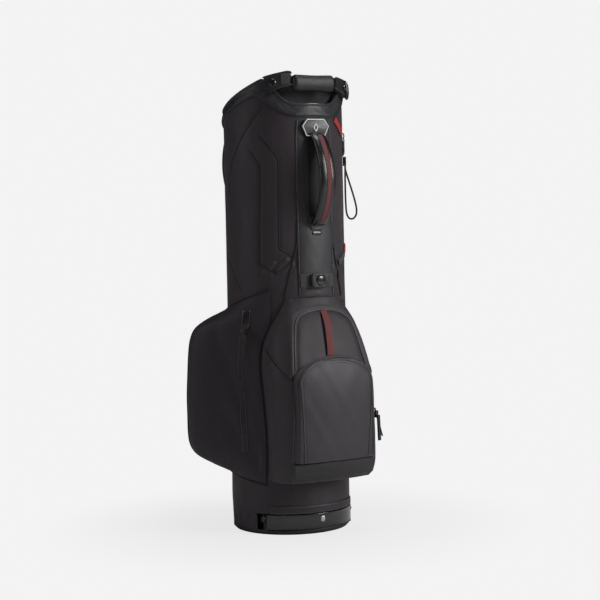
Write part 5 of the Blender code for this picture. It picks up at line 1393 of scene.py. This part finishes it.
def sew_accessory_pocket():
    """Front: a lift that climbs quickly over the side strip's width and is crowned across the panel; the
    rows close over the arch. Back: a hair above the ball pocket."""
    low, top = 0.1485, 0.3436
    rows = low + (top - low) * (1.0 - (1.0 - np.linspace(0.0, 1.0, 130)) ** 1.6)
    height = rows[:, None]
    half = np.maximum(arch_half(BASE_OUTLINE, height, spread=0.05), 0.010)
    share = np.concatenate([-1 + 0.5 * np.linspace(0, 1, 44) ** 1.8, np.linspace(-0.5, 0.5, 32)[1:-1],
                            1 - 0.5 * np.linspace(1, 0, 44) ** 1.8])[None, :]
    x = half * share
    inside = np.clip((half - np.abs(x)) / 0.0095, 0, 1)
    below_arch = np.clip((BASE_OUTLINE[1] + BASE_OUTLINE[2] - height) / 0.0085, 0, 1)
    wall = np.sin(np.pi / 2 * np.minimum(inside, 1)) ** 0.8 * (0.12 + 0.88 * np.sin(np.pi / 2 * below_arch))
    crown = 0.0016 * np.cos(np.pi / 2 * share) * np.sin(np.pi * (height - low) / (top - low))
    ripple = soft_wave(x * 60.0, height * 40.0, 0.0003)
    lift = 0.0006 + ACCESSORY_PROUD * wall + (crown + ripple) * wall
    front = along_pocket(x, height, lift)
    back = along_pocket(x, height, 0.0004)
    pocket = closed_skin("accessory_pocket_cover", front_and_back(front, back), "bag",
                         pocket_face_lit)
    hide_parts("accessory_pocket")
    x, z = arch_path(BASE_OUTLINE, 0.1500, 0.05)
    outer = along_pocket(x, z, 0.0012)
    x, z = arch_path(FRONT_OUTLINE, 0.1500, -0.05)
    x = np.where(x > 0, x * (1.0 - 0.11 * np.clip((0.270 - z) / 0.12, 0, 1)), x)
    inner = along_pocket(x, z, ACCESSORY_PROUD + 0.0008)
    cords = [tube_rings(outer, 0.0017, taper=0.003), tube_rings(inner, 0.0015, taper=0.003)]
    joined_skins("accessory_pocket_piping", cords, "bag", piping_cloth)
    x, z = arch_path((0.0690, 0.2950, 0.0375), 0.1520, -0.05)
    inner = along_pocket(x, z, ACCESSORY_PROUD + 0.0014)
    sew_stitches("accessory_stitches", [(inner, flat_out(inner))], "bag", thread)


def coil_zip(name, path, outward):
    """A coil zip: two cloth tapes as flat bands and a run of small rounded teeth between them."""
    side = np.cross(np.gradient(path, axis=0), outward)
    side /= np.linalg.norm(side, axis=1, keepdims=True)
    tapes = [tube_rings(path + side * sign * 0.0034, 0.0030, 0.0004, outward=outward, taper=0.003)
             for sign in (-1, 1)]
    joined_skins(f"{name}_tape", tapes, "bag", band_cloth)
    teeth = stitch_parts(path, outward, 0.0010, 0.0007, 0.0017, 0.0009)
    joined_skins(f"{name}_teeth", teeth, "bag", gloss_moulding)


def hem_pockets():
    """The band round the foot of both pockets: a flat crowned strip with a rolled top edge."""
    height = np.linspace(HEM_LOW, HEM_HIGH, 30)[:, None]
    angle = np.linspace(-30.0, 38.5, 150)[None, :]
    across = np.sqrt(np.maximum(0.0, 1.0 - np.abs(2 * (height - HEM_LOW) / (HEM_HIGH - HEM_LOW) - 1) ** 6))
    ends = np.clip(np.minimum(angle + 30.0, 38.5 - angle) / 1.2, 0.0, 1.0) ** 0.5
    proud = 0.0008 + (0.0030 + 0.0012 * (height - HEM_LOW) / (HEM_HIGH - HEM_LOW)) * across * ends
    reach = pocket_reach(angle, height)
    front = polar(reach + proud, angle, height)
    back = polar(reach + 0.0004, angle, height)
    hem = closed_skin("pocket_hem_band", front_and_back(front, back), "bag", hem_leather)
    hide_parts("pocket_hem")
    runs = []
    span = np.linspace(-29.0, 37.5, 200)
    for z in (0.1175, 0.1445):
        path = polar(pocket_reach(span, z + 0 * span) + 0.0046, span, z)
        runs.append((path, flat_out(path)))
    sew_stitches("hem_stitches", runs, "bag", thread)


def hang_stripe():
    """The red loop down the upper panel: a flat band that stands off in the middle, sewn at both ends."""
    share = np.linspace(0.0, 1.0, 110)
    height = 0.345 + 0.085 * share
    lift = 0.0022 + 0.0030 * np.sin(np.pi * share) ** 0.8
    path = along_pocket(-0.0055 + 0.0075 * share, height, lift)
    outward = np.cross(np.broadcast_to((1.0, 0.0, 0.0), path.shape), np.gradient(path, axis=0))
    outward *= np.sign(-outward[:, 1:2])
    band = tube_rings(path, 0.0066, 0.0010, outward=outward, sides=20)
    stripe = closed_skin("door_stripe", band, "bag", red_webbing)
    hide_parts("stripe_loop")
    outward /= np.linalg.norm(outward, axis=1, keepdims=True)
    runs = [(path + np.array((sign * 0.0048, 0, 0)) + outward * 0.0007, outward) for sign in (-1, 1)]
    sew_stitches("stripe_stitches", runs, "bag", red_thread, 0.0028, 0.0012)


hem_leather = leather_material("hem_leather", (0.022, 0.021, 0.023), (0.013, 0.012, 0.013), 0.42, 640.0,
                               0.25)
sew_accessory_pocket()
hem_pockets()
hang_stripe()
zip_x, zip_z = arch_path((0.0790, 0.2995, 0.0415), 0.1520, 0.0)
zip_line = along_pocket(zip_x, zip_z, 0.0085)
half_zip = len(zip_line) // 2
zip_out = np.stack([np.sign(zip_x) * 0.8 * np.clip(np.abs(zip_x) / 0.06, 0, 1) ** 4 + 0 * zip_x,
                    np.full_like(zip_x, -0.75), 0.8 * np.clip((zip_z - 0.31) / 0.02, 0, 1)], axis=1)
coil_zip("accessory_zip", zip_line[half_zip // 3:], zip_out[half_zip // 3:])
door_zip = on_pocket([(a * 1.05, DOOR_FOOT + (z - DOOR_FOOT) * 1.03) for a, z in DOOR_ARCH], -0.0010)
coil_zip("ball_zip", door_zip, flat_out(door_zip))

# ---------------------------------------------------------------- clothes pocket
# The tall side pocket: two large nylon panels over a wedge that is deepest towards its rear corner,
# piped round its edge, with an upright zip under a flap and a leather garage at the zip's top.
CLOTHES_FRONT, CLOTHES_REAR = 47.0, 150.0    # degrees from the front, on the left
ZIP_ANGLE = -69.0
CLOTHES = [(CLOTHES_FRONT, 0.0), (60.0, 0.07), (70.0, 0.16), (80.0, 0.29), (90.0, 0.49), (99.0, 0.76),
           (105.0, 0.94),
           (111.0, 1.0), (117.0, 0.92), (125.0, 0.50), (135.0, 0.22), (145.0, 0.06), (CLOTHES_REAR, 0.0)]
CLOTHES_RISE = [(0.0, 0.0), (0.010, 0.33), (0.020, 0.578), (0.030, 0.77), (0.038, 0.865), (0.048, 0.935),
                (0.062, 0.98), (0.090, 1.0), (0.5, 1.0)]
CLOTHES_FALL = [(0.0, 0.0), (0.010, 0.31), (0.020, 0.54), (0.030, 0.71), (0.038, 0.79), (0.048, 0.845),
                (0.062, 0.89), (0.100, 0.950), (0.150, 0.99), (0.190, 1.0), (0.5, 1.0)]
CLOTHES_PROUD = 0.082


def clothes_foot(angle):
    return 0.095 + 0.00034 * (np.abs(angle) - CLOTHES_FRONT)


def clothes_head(angle):
    return 0.472 - 0.0007 * (np.abs(angle) - CLOTHES_FRONT)


def clothes_cloth(angle, share):
    """Place on the pocket: the wedge's depth by angle, ramped in from both seams by two tables, with
    slow ripples and two long drags from the lower front corner; the front edge bends round the ball
    pocket's foot."""
    low, high = clothes_foot(angle), clothes_head(angle)
    tall = high - low
    ramp_low = smooth_table(CLOTHES_RISE, share * tall)
    ramp_high = smooth_table(CLOTHES_FALL, (1.0 - share) * tall)
    depth = np.maximum(0.0, smooth_table(CLOTHES, np.abs(angle)))
    height = low + tall * share
    reach = POCKET_FOOT - 0.0006 + CLOTHES_PROUD * depth * ramp_low * ramp_high
    level = np.clip((height - POCKET_BASE) / (POCKET_TOP - POCKET_BASE), 0.0, 1.0)
    start = np.maximum(smooth_table(SIDES, level) + 2.5, CLOTHES_FRONT)
    edge = angle + (start - CLOTHES_FRONT) * -np.maximum(0.0, 1.0 - (np.abs(angle) - CLOTHES_FRONT) / 60.0)
    slack = np.clip(np.minimum(ramp_low, ramp_high), 0, 1) * np.clip((np.abs(angle)
                                                                      - CLOTHES_FRONT) / 8.0, 0, 1)
    slack = slack * np.clip((CLOTHES_REAR - np.abs(angle)) / 10.0, 0, 1)
    relief = soft_wave(np.radians(angle) * 6.0 + 1.1, height * 19.0, 0.0014)
    for corners, size in (([(-58.0, 0.130), (-86.0, 0.235)], 0.0018),
                          ([(-56.0, 0.150), (-76.0, 0.300)], 0.0014),
                          ([(-96.0, 0.405), (-80.0, 0.330)], 0.0014)):
        relief = relief - size * np.exp(-(from_line(angle, height, corners) / 0.012) ** 2)
    away = np.minimum(np.abs(angle + 71.7), np.abs(angle + 66.2)) * math.radians(1.0) * 0.135
    upright = np.clip(np.minimum(height - 0.150, 0.395 - height) / 0.006, 0.0, 1.0)
    relief = relief - 0.0008 * np.exp(-(away / 0.0016) ** 2) * upright
    return polar(reach + relief * slack, edge, height)


# The tube's nylon painted darker for this pocket: painted shade on its left-facing panels.
clothes_shaded_nylon = cloth_material("clothes_shaded_nylon", (0.0122, 0.0088, 0.0118), (0.0240, 0.0178, 0.0232), 0.0006,
                               0.54, 0.22, 0.10, 7.0)


def sew_clothes_pocket():
    angle = -np.concatenate([np.linspace(CLOTHES_FRONT, 125.0, 220),
                             np.linspace(125.0, CLOTHES_REAR, 40)[1:]])[None, :]
    share = (0.5 - 0.5 * np.cos(np.pi * np.linspace(0.0, 1.0, 170)))[:, None]
    front = clothes_cloth(angle, share)
    plan = front[..., :2]
    back = polar(np.full(plan.shape[:2], POCKET_BACK), np.degrees(np.arctan2(plan[..., 0], -plan[..., 1])),
                 front[..., 2])
    rings = front_and_back(front, back)
    rings = rings[:, :len(rings[0]) // 2 * 2]
    pocket = closed_skin("clothes_pocket_cover", rings, "bag", clothes_shaded_nylon)
    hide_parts("clothes_pocket")


def pipe_clothes_pocket():
    """Piping along the top, the foot and the two upright seams, all on the cloth; the ridge at the rear
    corner carries one more."""
    span = -np.linspace(47.5, 149.5, 300)
    edges = []
    for share, lift in ((0.004, 0.0008), (0.996, 0.0008)):
        path = clothes_cloth(span, np.full_like(span, share))
        edges.append(even_steps(path + flat_out(path) / 0.15 * lift, 0.0025))
    up = np.linspace(0.01, 0.99, 300)
    for angle in (-111.0, -148.5):
        path = clothes_cloth(np.full_like(up, angle), up)
        edges.append(even_steps(path + flat_out(path) / 0.15 * 0.0005, 0.0025))
    cords = [tube_rings(path, 0.0013, taper=0.004) for path in edges]
    joined_skins("clothes_pocket_piping", cords, "bag", seam_shade)
    share = (np.linspace(0.158, 0.392, 180) - clothes_foot(ZIP_ANGLE)) / (clothes_head(ZIP_ANGLE)
                                                                          - clothes_foot(ZIP_ANGLE))
    flap = [clothes_cloth(np.full_like(share, angle), share) * (1.003, 1.003, 1.0) for angle in (-71.4,
                                                                                                 -66.6)]
    ridges = [tube_rings(path, 0.0009, 0.0005, taper=0.004) for path in flap]
    joined_skins("clothes_zip_flap", ridges, "bag", piping_cloth)
    middle = clothes_cloth(np.full_like(share, ZIP_ANGLE), share) * (0.9985, 0.9985, 1.0)
    joined_skins("clothes_zip_teeth", stitch_parts(middle, flat_out(middle), 0.0010, 0.0007, 0.0017,
                                                           0.0007), "bag", gloss_moulding)


def tab_garage():
    """The leather garage over the zip's top: a rounded upright patch, crowned across."""
    share = np.linspace(-1.0, 1.0, 30)[None, :]
    height = np.linspace(0.3885, 0.4325, 40)[:, None]
    end = np.clip(np.minimum(height - height[0], height[-1] - height) / 0.004, 0.04, 1.0)
    angle = -68.4 + 3.6 * share * np.sqrt(1.0 - (1.0 - end) ** 2)
    level = (height - clothes_foot(angle)) / (clothes_head(angle) - clothes_foot(angle))
    base = clothes_cloth(angle, level)
    out = base * (1.0, 1.0, 0.0) / np.linalg.norm(base[..., :2], axis=-1)[..., None]
    puff = (0.0012 + 0.0014 * np.sqrt(np.maximum(0, 1 - np.abs(share) ** 5)) * end ** 0.5)[..., None]
    rings = np.concatenate([base + out * puff, (base + out * 0.0002)[:, ::-1]], axis=1)
    closed_skin("clothes_zip_garage", rings, "bag", grip_leather)


sew_clothes_pocket()
pipe_clothes_pocket()
tab_garage()
for part_name in ("ball_zip_slider", "accessory_zip_slider", "clothes_zip_slider"):
    dress_node(part_name, gloss_moulding, 0.0005)
for part_name in ("ball_zip_pull", "accessory_zip_pull", "clothes_zip_pull"):
    dress_node(part_name, matte_moulding, 0.0012)

# ---------------------------------------------------------------- side pocket
# The long pocket on the right, behind the ball pocket and under the shoulder pads: one puffed panel
# with a piped edge.
def sew_side_pocket():
    """The swell climbs from all four edges as one minus a square, and ripples slowly."""
    angle = np.linspace(66.0, 128.0, 120)[None, :]
    share = np.linspace(0.0, 1.0, 110)[:, None]
    across = np.clip(np.minimum(angle - 66.0, 128.0 - angle) / 12.0, 0.0, 1.0)
    up = np.clip(np.minimum(share, 1.0 - share) / 0.12, 0.0, 1.0)
    swell = (1.0 - (1.0 - across) ** 2) * (1.0 - (1.0 - up) ** 2)
    height = 0.130 + 0.255 * share
    relief = soft_wave(np.radians(angle) * 6.0, height * 22.0, 0.0012) * swell
    front = polar(POCKET_FOOT - 0.0004 + 0.025 * swell + relief, angle, height)
    back = polar(np.full(front.shape[:2], POCKET_BACK), angle, height)
    pocket = closed_skin("side_pocket_cover", front_and_back(front, back), "bag", nylon)
    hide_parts("side_pocket")
    turn = np.linspace(0.0, 2 * np.pi, 400, endpoint=False)
    angle = 97.0 + 30.4 * rounded(np.cos(turn), 0.25)
    height = 0.2575 + 0.1268 * rounded(np.sin(turn), 0.25)
    edge = polar(np.full(400, 0.1192), angle, height)
    edge = even_steps(np.concatenate([edge, edge[:1]]), 0.003)[:-1]
    closed_skin("side_pocket_piping", tube_rings(edge, 0.0015, closed=True), "bag", piping_cloth,
                        round_trip=True)


sew_side_pocket()

# ---------------------------------------------------------------- shoulder straps
# Two padded straps stowed upright along the right of the tube: mesh-faced foam with bound edges, and
# the webbing, rings and tabs that join them to the cuff.
STRAP_CENTRES = {"front": 92.0, "rear": 121.0}
PAD_FOOT, PAD_LENGTH = 0.4325, 0.3325
strap_cloth = cloth_material("strap_mesh", (0.012, 0.011, 0.012), (0.026, 0.024, 0.026), 0.0018, 0.62,
                             0.6, 0.25)


def plump(pad, cap):
    """Cloth with a little air pressure over a remeshed copy: every point's move is capped, and the
    puffed mesh takes the place of the plain one."""
    rest_mesh = pad.data.copy()
    remesh = pad.modifiers.new("remesh", "REMESH")
    remesh.mode, remesh.voxel_size = "VOXEL", 0.004
    even = bpy.data.meshes.new_from_object(pad.evaluated_get(bpy.context.evaluated_depsgraph_get()))
    pad.modifiers.clear()
    pad.data = even
    start = np.empty(len(even.vertices) * 3)
    even.vertices.foreach_get("co", start)
    cloth = pad.modifiers.new("air", "CLOTH")
    cloth.settings.use_pressure = True
    cloth.settings.uniform_pressure_force = 4.0
    cloth.settings.tension_stiffness = cloth.settings.compression_stiffness = 25.0
    cloth.settings.effector_weights.gravity = 0.0
    cloth.point_cache.frame_start, cloth.point_cache.frame_end = 1, 20
    for step in range(1, 21):
        scene.frame_set(step)
    puffed = bpy.data.meshes.new_from_object(pad.evaluated_get(bpy.context.evaluated_depsgraph_get()))
    pad.modifiers.clear()
    scene.frame_set(1)
    end = np.empty(len(puffed.vertices) * 3)
    puffed.vertices.foreach_get("co", end)
    if len(end) != len(start):
        pad.data = rest_mesh
        return
    move = (end - start).reshape(-1, 3)
    size = np.maximum(np.linalg.norm(move, axis=1, keepdims=True), 1e-9)
    spots = start.reshape(-1, 3) + move * np.minimum(1.0, cap / size)
    puffed.vertices.foreach_set("co", spots.ravel())
    puffed.update()
    pad.data = puffed


def strap_pad(side, centre):
    """A long pad on the tube, a little smaller than its space: thick in the middle of its width as a
    rounded box, thinned at both ends, and swept along the tube's height."""
    angle = centre + 9.6 * np.linspace(-1.0, 1.0, 40)[None, :]
    share = np.linspace(0.0, 1.0, 120)[:, None]
    across = 1.0 - np.abs((angle - centre) / 9.9) ** 4
    along = np.minimum(1.0, np.minimum(share, 1.0 - share) / 0.08 + 0.3)
    thick = 0.0095 * (0.35 + 0.65 * np.maximum(0.0, across) ** 0.5 * along)
    height = PAD_FOOT + PAD_LENGTH * share
    front = polar(0.1166 + thick, angle, height)
    back = polar(np.full(front.shape[:2], 0.1166), angle, height)
    pad = closed_skin(f"strap_pad_{side}", front_and_back(front, back), "bag", strap_cloth)
    plump(pad, 0.0022)
    spots = np.empty(len(pad.data.vertices) * 3)
    pad.data.vertices.foreach_get("co", spots)
    spots = spots.reshape(-1, 3)
    reach = np.hypot(spots[:, 0], spots[:, 1])
    lift = np.maximum(reach, 0.1160) - reach
    channels = sum(np.exp(-((spots[:, 2] - z) / 0.0030) ** 2) for z in (0.500, 0.560, 0.620, 0.680, 0.735))
    press = 0.0016 * channels * np.clip((reach - 0.1200) / 0.004, 0, 1)
    spots[:, :2] *= ((reach + lift - press) / reach)[:, None]
    pad.data.vertices.foreach_set("co", spots.ravel())
    if not pad.data.uv_layers:
        pad.data.uv_layers.new(name="UVMap")
    corner = np.empty(len(pad.data.loops), int)
    pad.data.loops.foreach_get("vertex_index", corner)
    turn = np.arctan2(spots[:, 0], -spots[:, 1]) * TUBE_RADIUS
    pad.data.uv_layers[0].uv.foreach_set(
        "vector", np.stack([turn[corner], spots[corner, 2]], axis=1).astype(np.float32).ravel())
    pad.data.polygons.foreach_set("use_smooth", np.ones(len(pad.data.polygons), bool))
    pad.data.materials.clear()
    pad.data.materials.append(strap_cloth)
    finer = pad.modifiers.new("finer", "SUBSURF")
    finer.levels = finer.render_levels = 1
    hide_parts(f"shoulder_strap_{side}")
    bound = []
    for sign in (-1, 1):
        height = np.linspace(0.4345, 0.7630, 160)
        bound.append(tube_rings(polar(0.1190, centre + sign * 9.9, height), 0.0016, 0.0020, taper=0.006))
    joined_skins(f"strap_binding_{side}", bound, "bag", band_cloth)


def flat_ribbon(name, route, width, thick, material, slot, node):
    """A strap lying on the tube along a route of angles and heights: a flat rounded section, its ends
    squared off."""
    line = spline_through([(a, z * 1000.0, 0.0) for a, z in route], 60)
    path = even_steps(polar(TUBE_RADIUS + 0.0006 + thick / 2, line[:, 0], line[:, 1] / 1000.0), 0.0012)
    rings = tube_rings(path, 1.0, 1.0, sides=20)
    middle = path[:, None]
    reach = rings - middle
    turn = np.linspace(0, 2 * np.pi, 20, endpoint=False)
    side, lift = reach[:, :1], reach[:, 5:6]
    wide = (rounded(np.cos(turn), 0.3) * width / 2)[None, :, None]
    high = (rounded(np.sin(turn), 0.7) * thick / 2)[None, :, None]
    strap = closed_skin(name, middle + wide * side + high * lift, "bag", material)
    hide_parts(node)
    runs = [(path + side[:, 0] * sign * width * 0.38 + lift[:, 0] * thick * 0.5,
             lift[:, 0]) for sign in (-1, 1)]
    sew_stitches(f"{name}_stitches", runs, "bag", red_thread if slot == "red_webbing" else thread)


def wire_ring():
    """The D-ring that joins strap to tab: a round wire bent to an oval with a flatter top."""
    low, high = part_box("strap_ring")
    turn = np.linspace(0, 2 * np.pi, 64, endpoint=False)
    centre = polar(0.1194, 46.5, (low.z + high.z) / 2)
    across = polar(1.0, 136.5, 0.0)
    flat = rounded(np.sin(turn), 0.85)
    path = centre + 0.0095 * np.cos(turn)[:, None] * across + 0.0072 * flat[:, None] * np.array((0, 0, 1.0))
    ring = closed_skin("strap_wire_ring", tube_rings(path, 0.0013, sides=14, closed=True), "ring",
                       bright_metal,
                       round_trip=True)
    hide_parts("strap_ring")


for strap_side, strap_centre in STRAP_CENTRES.items():
    strap_pad(strap_side, strap_centre)
flat_ribbon("strap_tab_red", [(27.5, 0.7915), (35.0, 0.7800), (44.0, 0.7655)], 0.012, 0.0019, red_tab_cloth,
            "red_webbing", "strap_tab")
flat_ribbon("strap_flap_cloth", [(52.0, 0.7491), (62.0, 0.7371), (77.0, 0.7311)], 0.022, 0.0040, band_cloth,
            "black_webbing", "strap_flap")
flat_ribbon("lower_tab_red", [(53.0, 0.5500), (48.0, 0.5360)], 0.012, 0.0019, red_tab_cloth, "red_webbing",
            "lower_tab")
flat_ribbon("lower_webbing_strap", [(47.0, 0.5330), (30.0, 0.5160)], 0.012, 0.0019, band_cloth,
            "black_webbing", "lower_webbing")
wire_ring()
dress_node("cord_clip", gloss_moulding, 0.0008)

# ---------------------------------------------------------------- legs, housing and rods
# Painted aluminium tubes with moulded feet, hung from pivots under a sewn and padded housing on the
# bag's back; spring-steel rods run down to the foot plate and push them out.
leg_paint = metal_material("leg_tube", (0.060, 0.060, 0.064), 0.30, (900.0, 900.0, 12.0))
dark_steel = metal_material("dark_steel", (0.10, 0.10, 0.105), 0.34)
foot_rubber = moulded_material("foot_rubber", (0.010, 0.010, 0.010), 0.72, 500.0, 0.3)
for leg_side in ("left", "right"):
    dress_node(f"leg_{leg_side}", leg_paint, 0.0003)
    dress_node(f"leg_foot_{leg_side}", foot_rubber, 0.0008)
    dress_node(f"actuator_rod_{leg_side}", dark_steel, 0.0002)
    dress_node(f"leg_spring_{leg_side}", bright_metal)
for stay in ("front_left", "front_right", "rear_left", "rear_right"):
    dress_node(f"stay_{stay}", matte_moulding)


HOUSING_FOOT, HOUSING_HEAD = 0.655, 0.7718


def pad_housing():
    """The leather housing over the leg pivots: a thin pad round the back with a rounded wing at each
    side that shields a leg, fading at its top and foot."""
    angle = 180.0 + np.linspace(-33.0, 33.0, 170)[None, :]
    share = np.linspace(0.0, 1.0, 90)[:, None]
    high = np.minimum(seam_height(angle), HOUSING_HEAD) + 0 * share
    height = HOUSING_FOOT + (high - HOUSING_FOOT) * share
    aside = 33.0 - np.abs(angle - 180.0)
    wing = np.clip(aside / 7.0, 0.0, 1.0)
    bump = np.sin(np.pi * wing) ** 0.8 * np.sin(np.pi * np.clip(share, 0.001, 0.999)) ** 0.35
    edge = np.clip(np.minimum(share, 1 - share) / 0.04, 0.05, 1.0) ** 0.5 * np.clip(aside / 1.2, 0.05,
                                                                                    1) ** 0.5
    radius = TUBE_RADIUS + 0.0008 + 0.0038 * edge + 0.0200 * bump + soft_wave(angle * 0.12, height * 30,
                                                                              0.0005)
    front = polar(radius, angle, height)
    back = polar(np.full_like(radius, TUBE_RADIUS + 0.0002), angle, height)
    housing = closed_skin("leg_housing_cover", front_and_back(front, back), "bag",
                          cuff_leather)
    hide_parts("leg_housing")
    rows = []
    for inset in (0.06, 0.94):
        span = 180.0 + np.linspace(-24.0, 24.0, 120)
        path = polar(np.full(120, TUBE_RADIUS + 0.0050), span, HOUSING_FOOT
                     + (HOUSING_HEAD - HOUSING_FOOT) * inset)
        rows.append((path, flat_out(path)))
    sew_stitches("housing_stitches", rows, "bag", thread)


pad_housing()

# ---------------------------------------------------------------- base: heel cup, trim, tray and foot plate
# A glossy moulded cup guards the front of the base under a band of leather; the foot plate swings on
# two pins and pulls the rods; a skirt of cloth closes the gap behind.
def mould_heel_cup():
    """A curved wall with a rolled upper lip and a rounded lower edge; its face bellies out slightly."""
    angle = np.linspace(-55.0, 55.0, 150)[None, :]
    profile = np.array([(0.1150, 0.0107), (0.1160, 0.0106), (0.1166, 0.0114), (0.1168, 0.0150),
                        (0.1169, 0.0220),
                        (0.1169, 0.0300), (0.1167, 0.0345), (0.1170, 0.0362), (0.1174, 0.0376), (0.1172,
                                                                                                 0.0388),
                        (0.1163, 0.0391), (0.1150, 0.0390)])
    profile = spline_through(profile, 60)
    radius, height = profile[:, :1], profile[:, 1:]
    outer = polar(radius + 0 * angle, angle + 0 * radius, height + 0 * angle)
    back = polar(0.1122 + 0 * radius + 0 * angle, angle + 0 * radius, height + 0 * angle)
    cup = closed_skin("heel_cup_shell", front_and_back(outer, back), "bag", cup_gloss)
    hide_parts("heel_cup")


def bind_base():
    """The leather band over the cup, crowned, with two rows of stitches."""
    angle = np.linspace(-52.0, 52.0, 150)[None, :]
    height = np.linspace(0.0400, 0.0562, 22)[:, None]
    crown = np.sqrt(np.maximum(0.0, 1.0 - np.abs(2 * (height - 0.0400) / 0.0162 - 1) ** 5))
    front = polar(TUBE_RADIUS + 0.0004 + 0.0018 * crown + 0 * angle, angle, height)
    back = polar(np.full(front.shape[:2], TUBE_RADIUS + 0.0001), angle, height)
    band = closed_skin("base_trim", front_and_back(front, back), "bag", hem_leather)
    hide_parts("lower_trim")
    runs = []
    for z in (0.0426, 0.0537):
        path = polar(TUBE_RADIUS + 0.0021, np.linspace(-51.0, 51.0, 240), z)
        runs.append((path, flat_out(path)))
    sew_stitches("trim_stitches", runs, "bag", pale_thread)


def hang_skirt():
    """Cloth between the foot plate and the tube's lower edge: its middle row bellies in and ripples."""
    angle = np.linspace(66.3, 293.7, 260)[None, :]
    share = np.linspace(0.0, 1.0, 26)[:, None]
    low = 0.0098
    height = low + (tube_foot(angle) - 0.0004 - low) * share
    reach = 0.1140 + 0.0013 * share
    belly = np.sin(np.pi * share) * np.clip((height.max(axis=0) - low) / 0.07, 0, 1)
    ripple = 0.0012 * belly * np.sin(np.radians(angle) * 31.0 + share * 3.0)
    radius = reach - 0.0012 * belly + ripple
    front, back = polar(radius, angle, height), polar(radius - 0.0013, angle, height)
    skirt = closed_skin("skirt_cloth", front_and_back(front, back), "bag", nylon)
    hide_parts("skirt")
    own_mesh(skirt)


cup_gloss = moulded_material("cup_gloss", (0.010, 0.010, 0.011), 0.20, 220.0, 0.04, 0.7)
mould_heel_cup()
bind_base()
hang_skirt()
dress_node("base_badge", bright_metal, 0.0006)
dress_node("bottom_tray", matte_moulding)
dress_node("foot_plate", matte_moulding, 0.0004)
dress_node("foot_sole", foot_rubber, 0.0006)
for pin_side in ("left", "right"):
    dress_node(f"hinge_pin_{pin_side}", gloss_moulding, 0.0004)
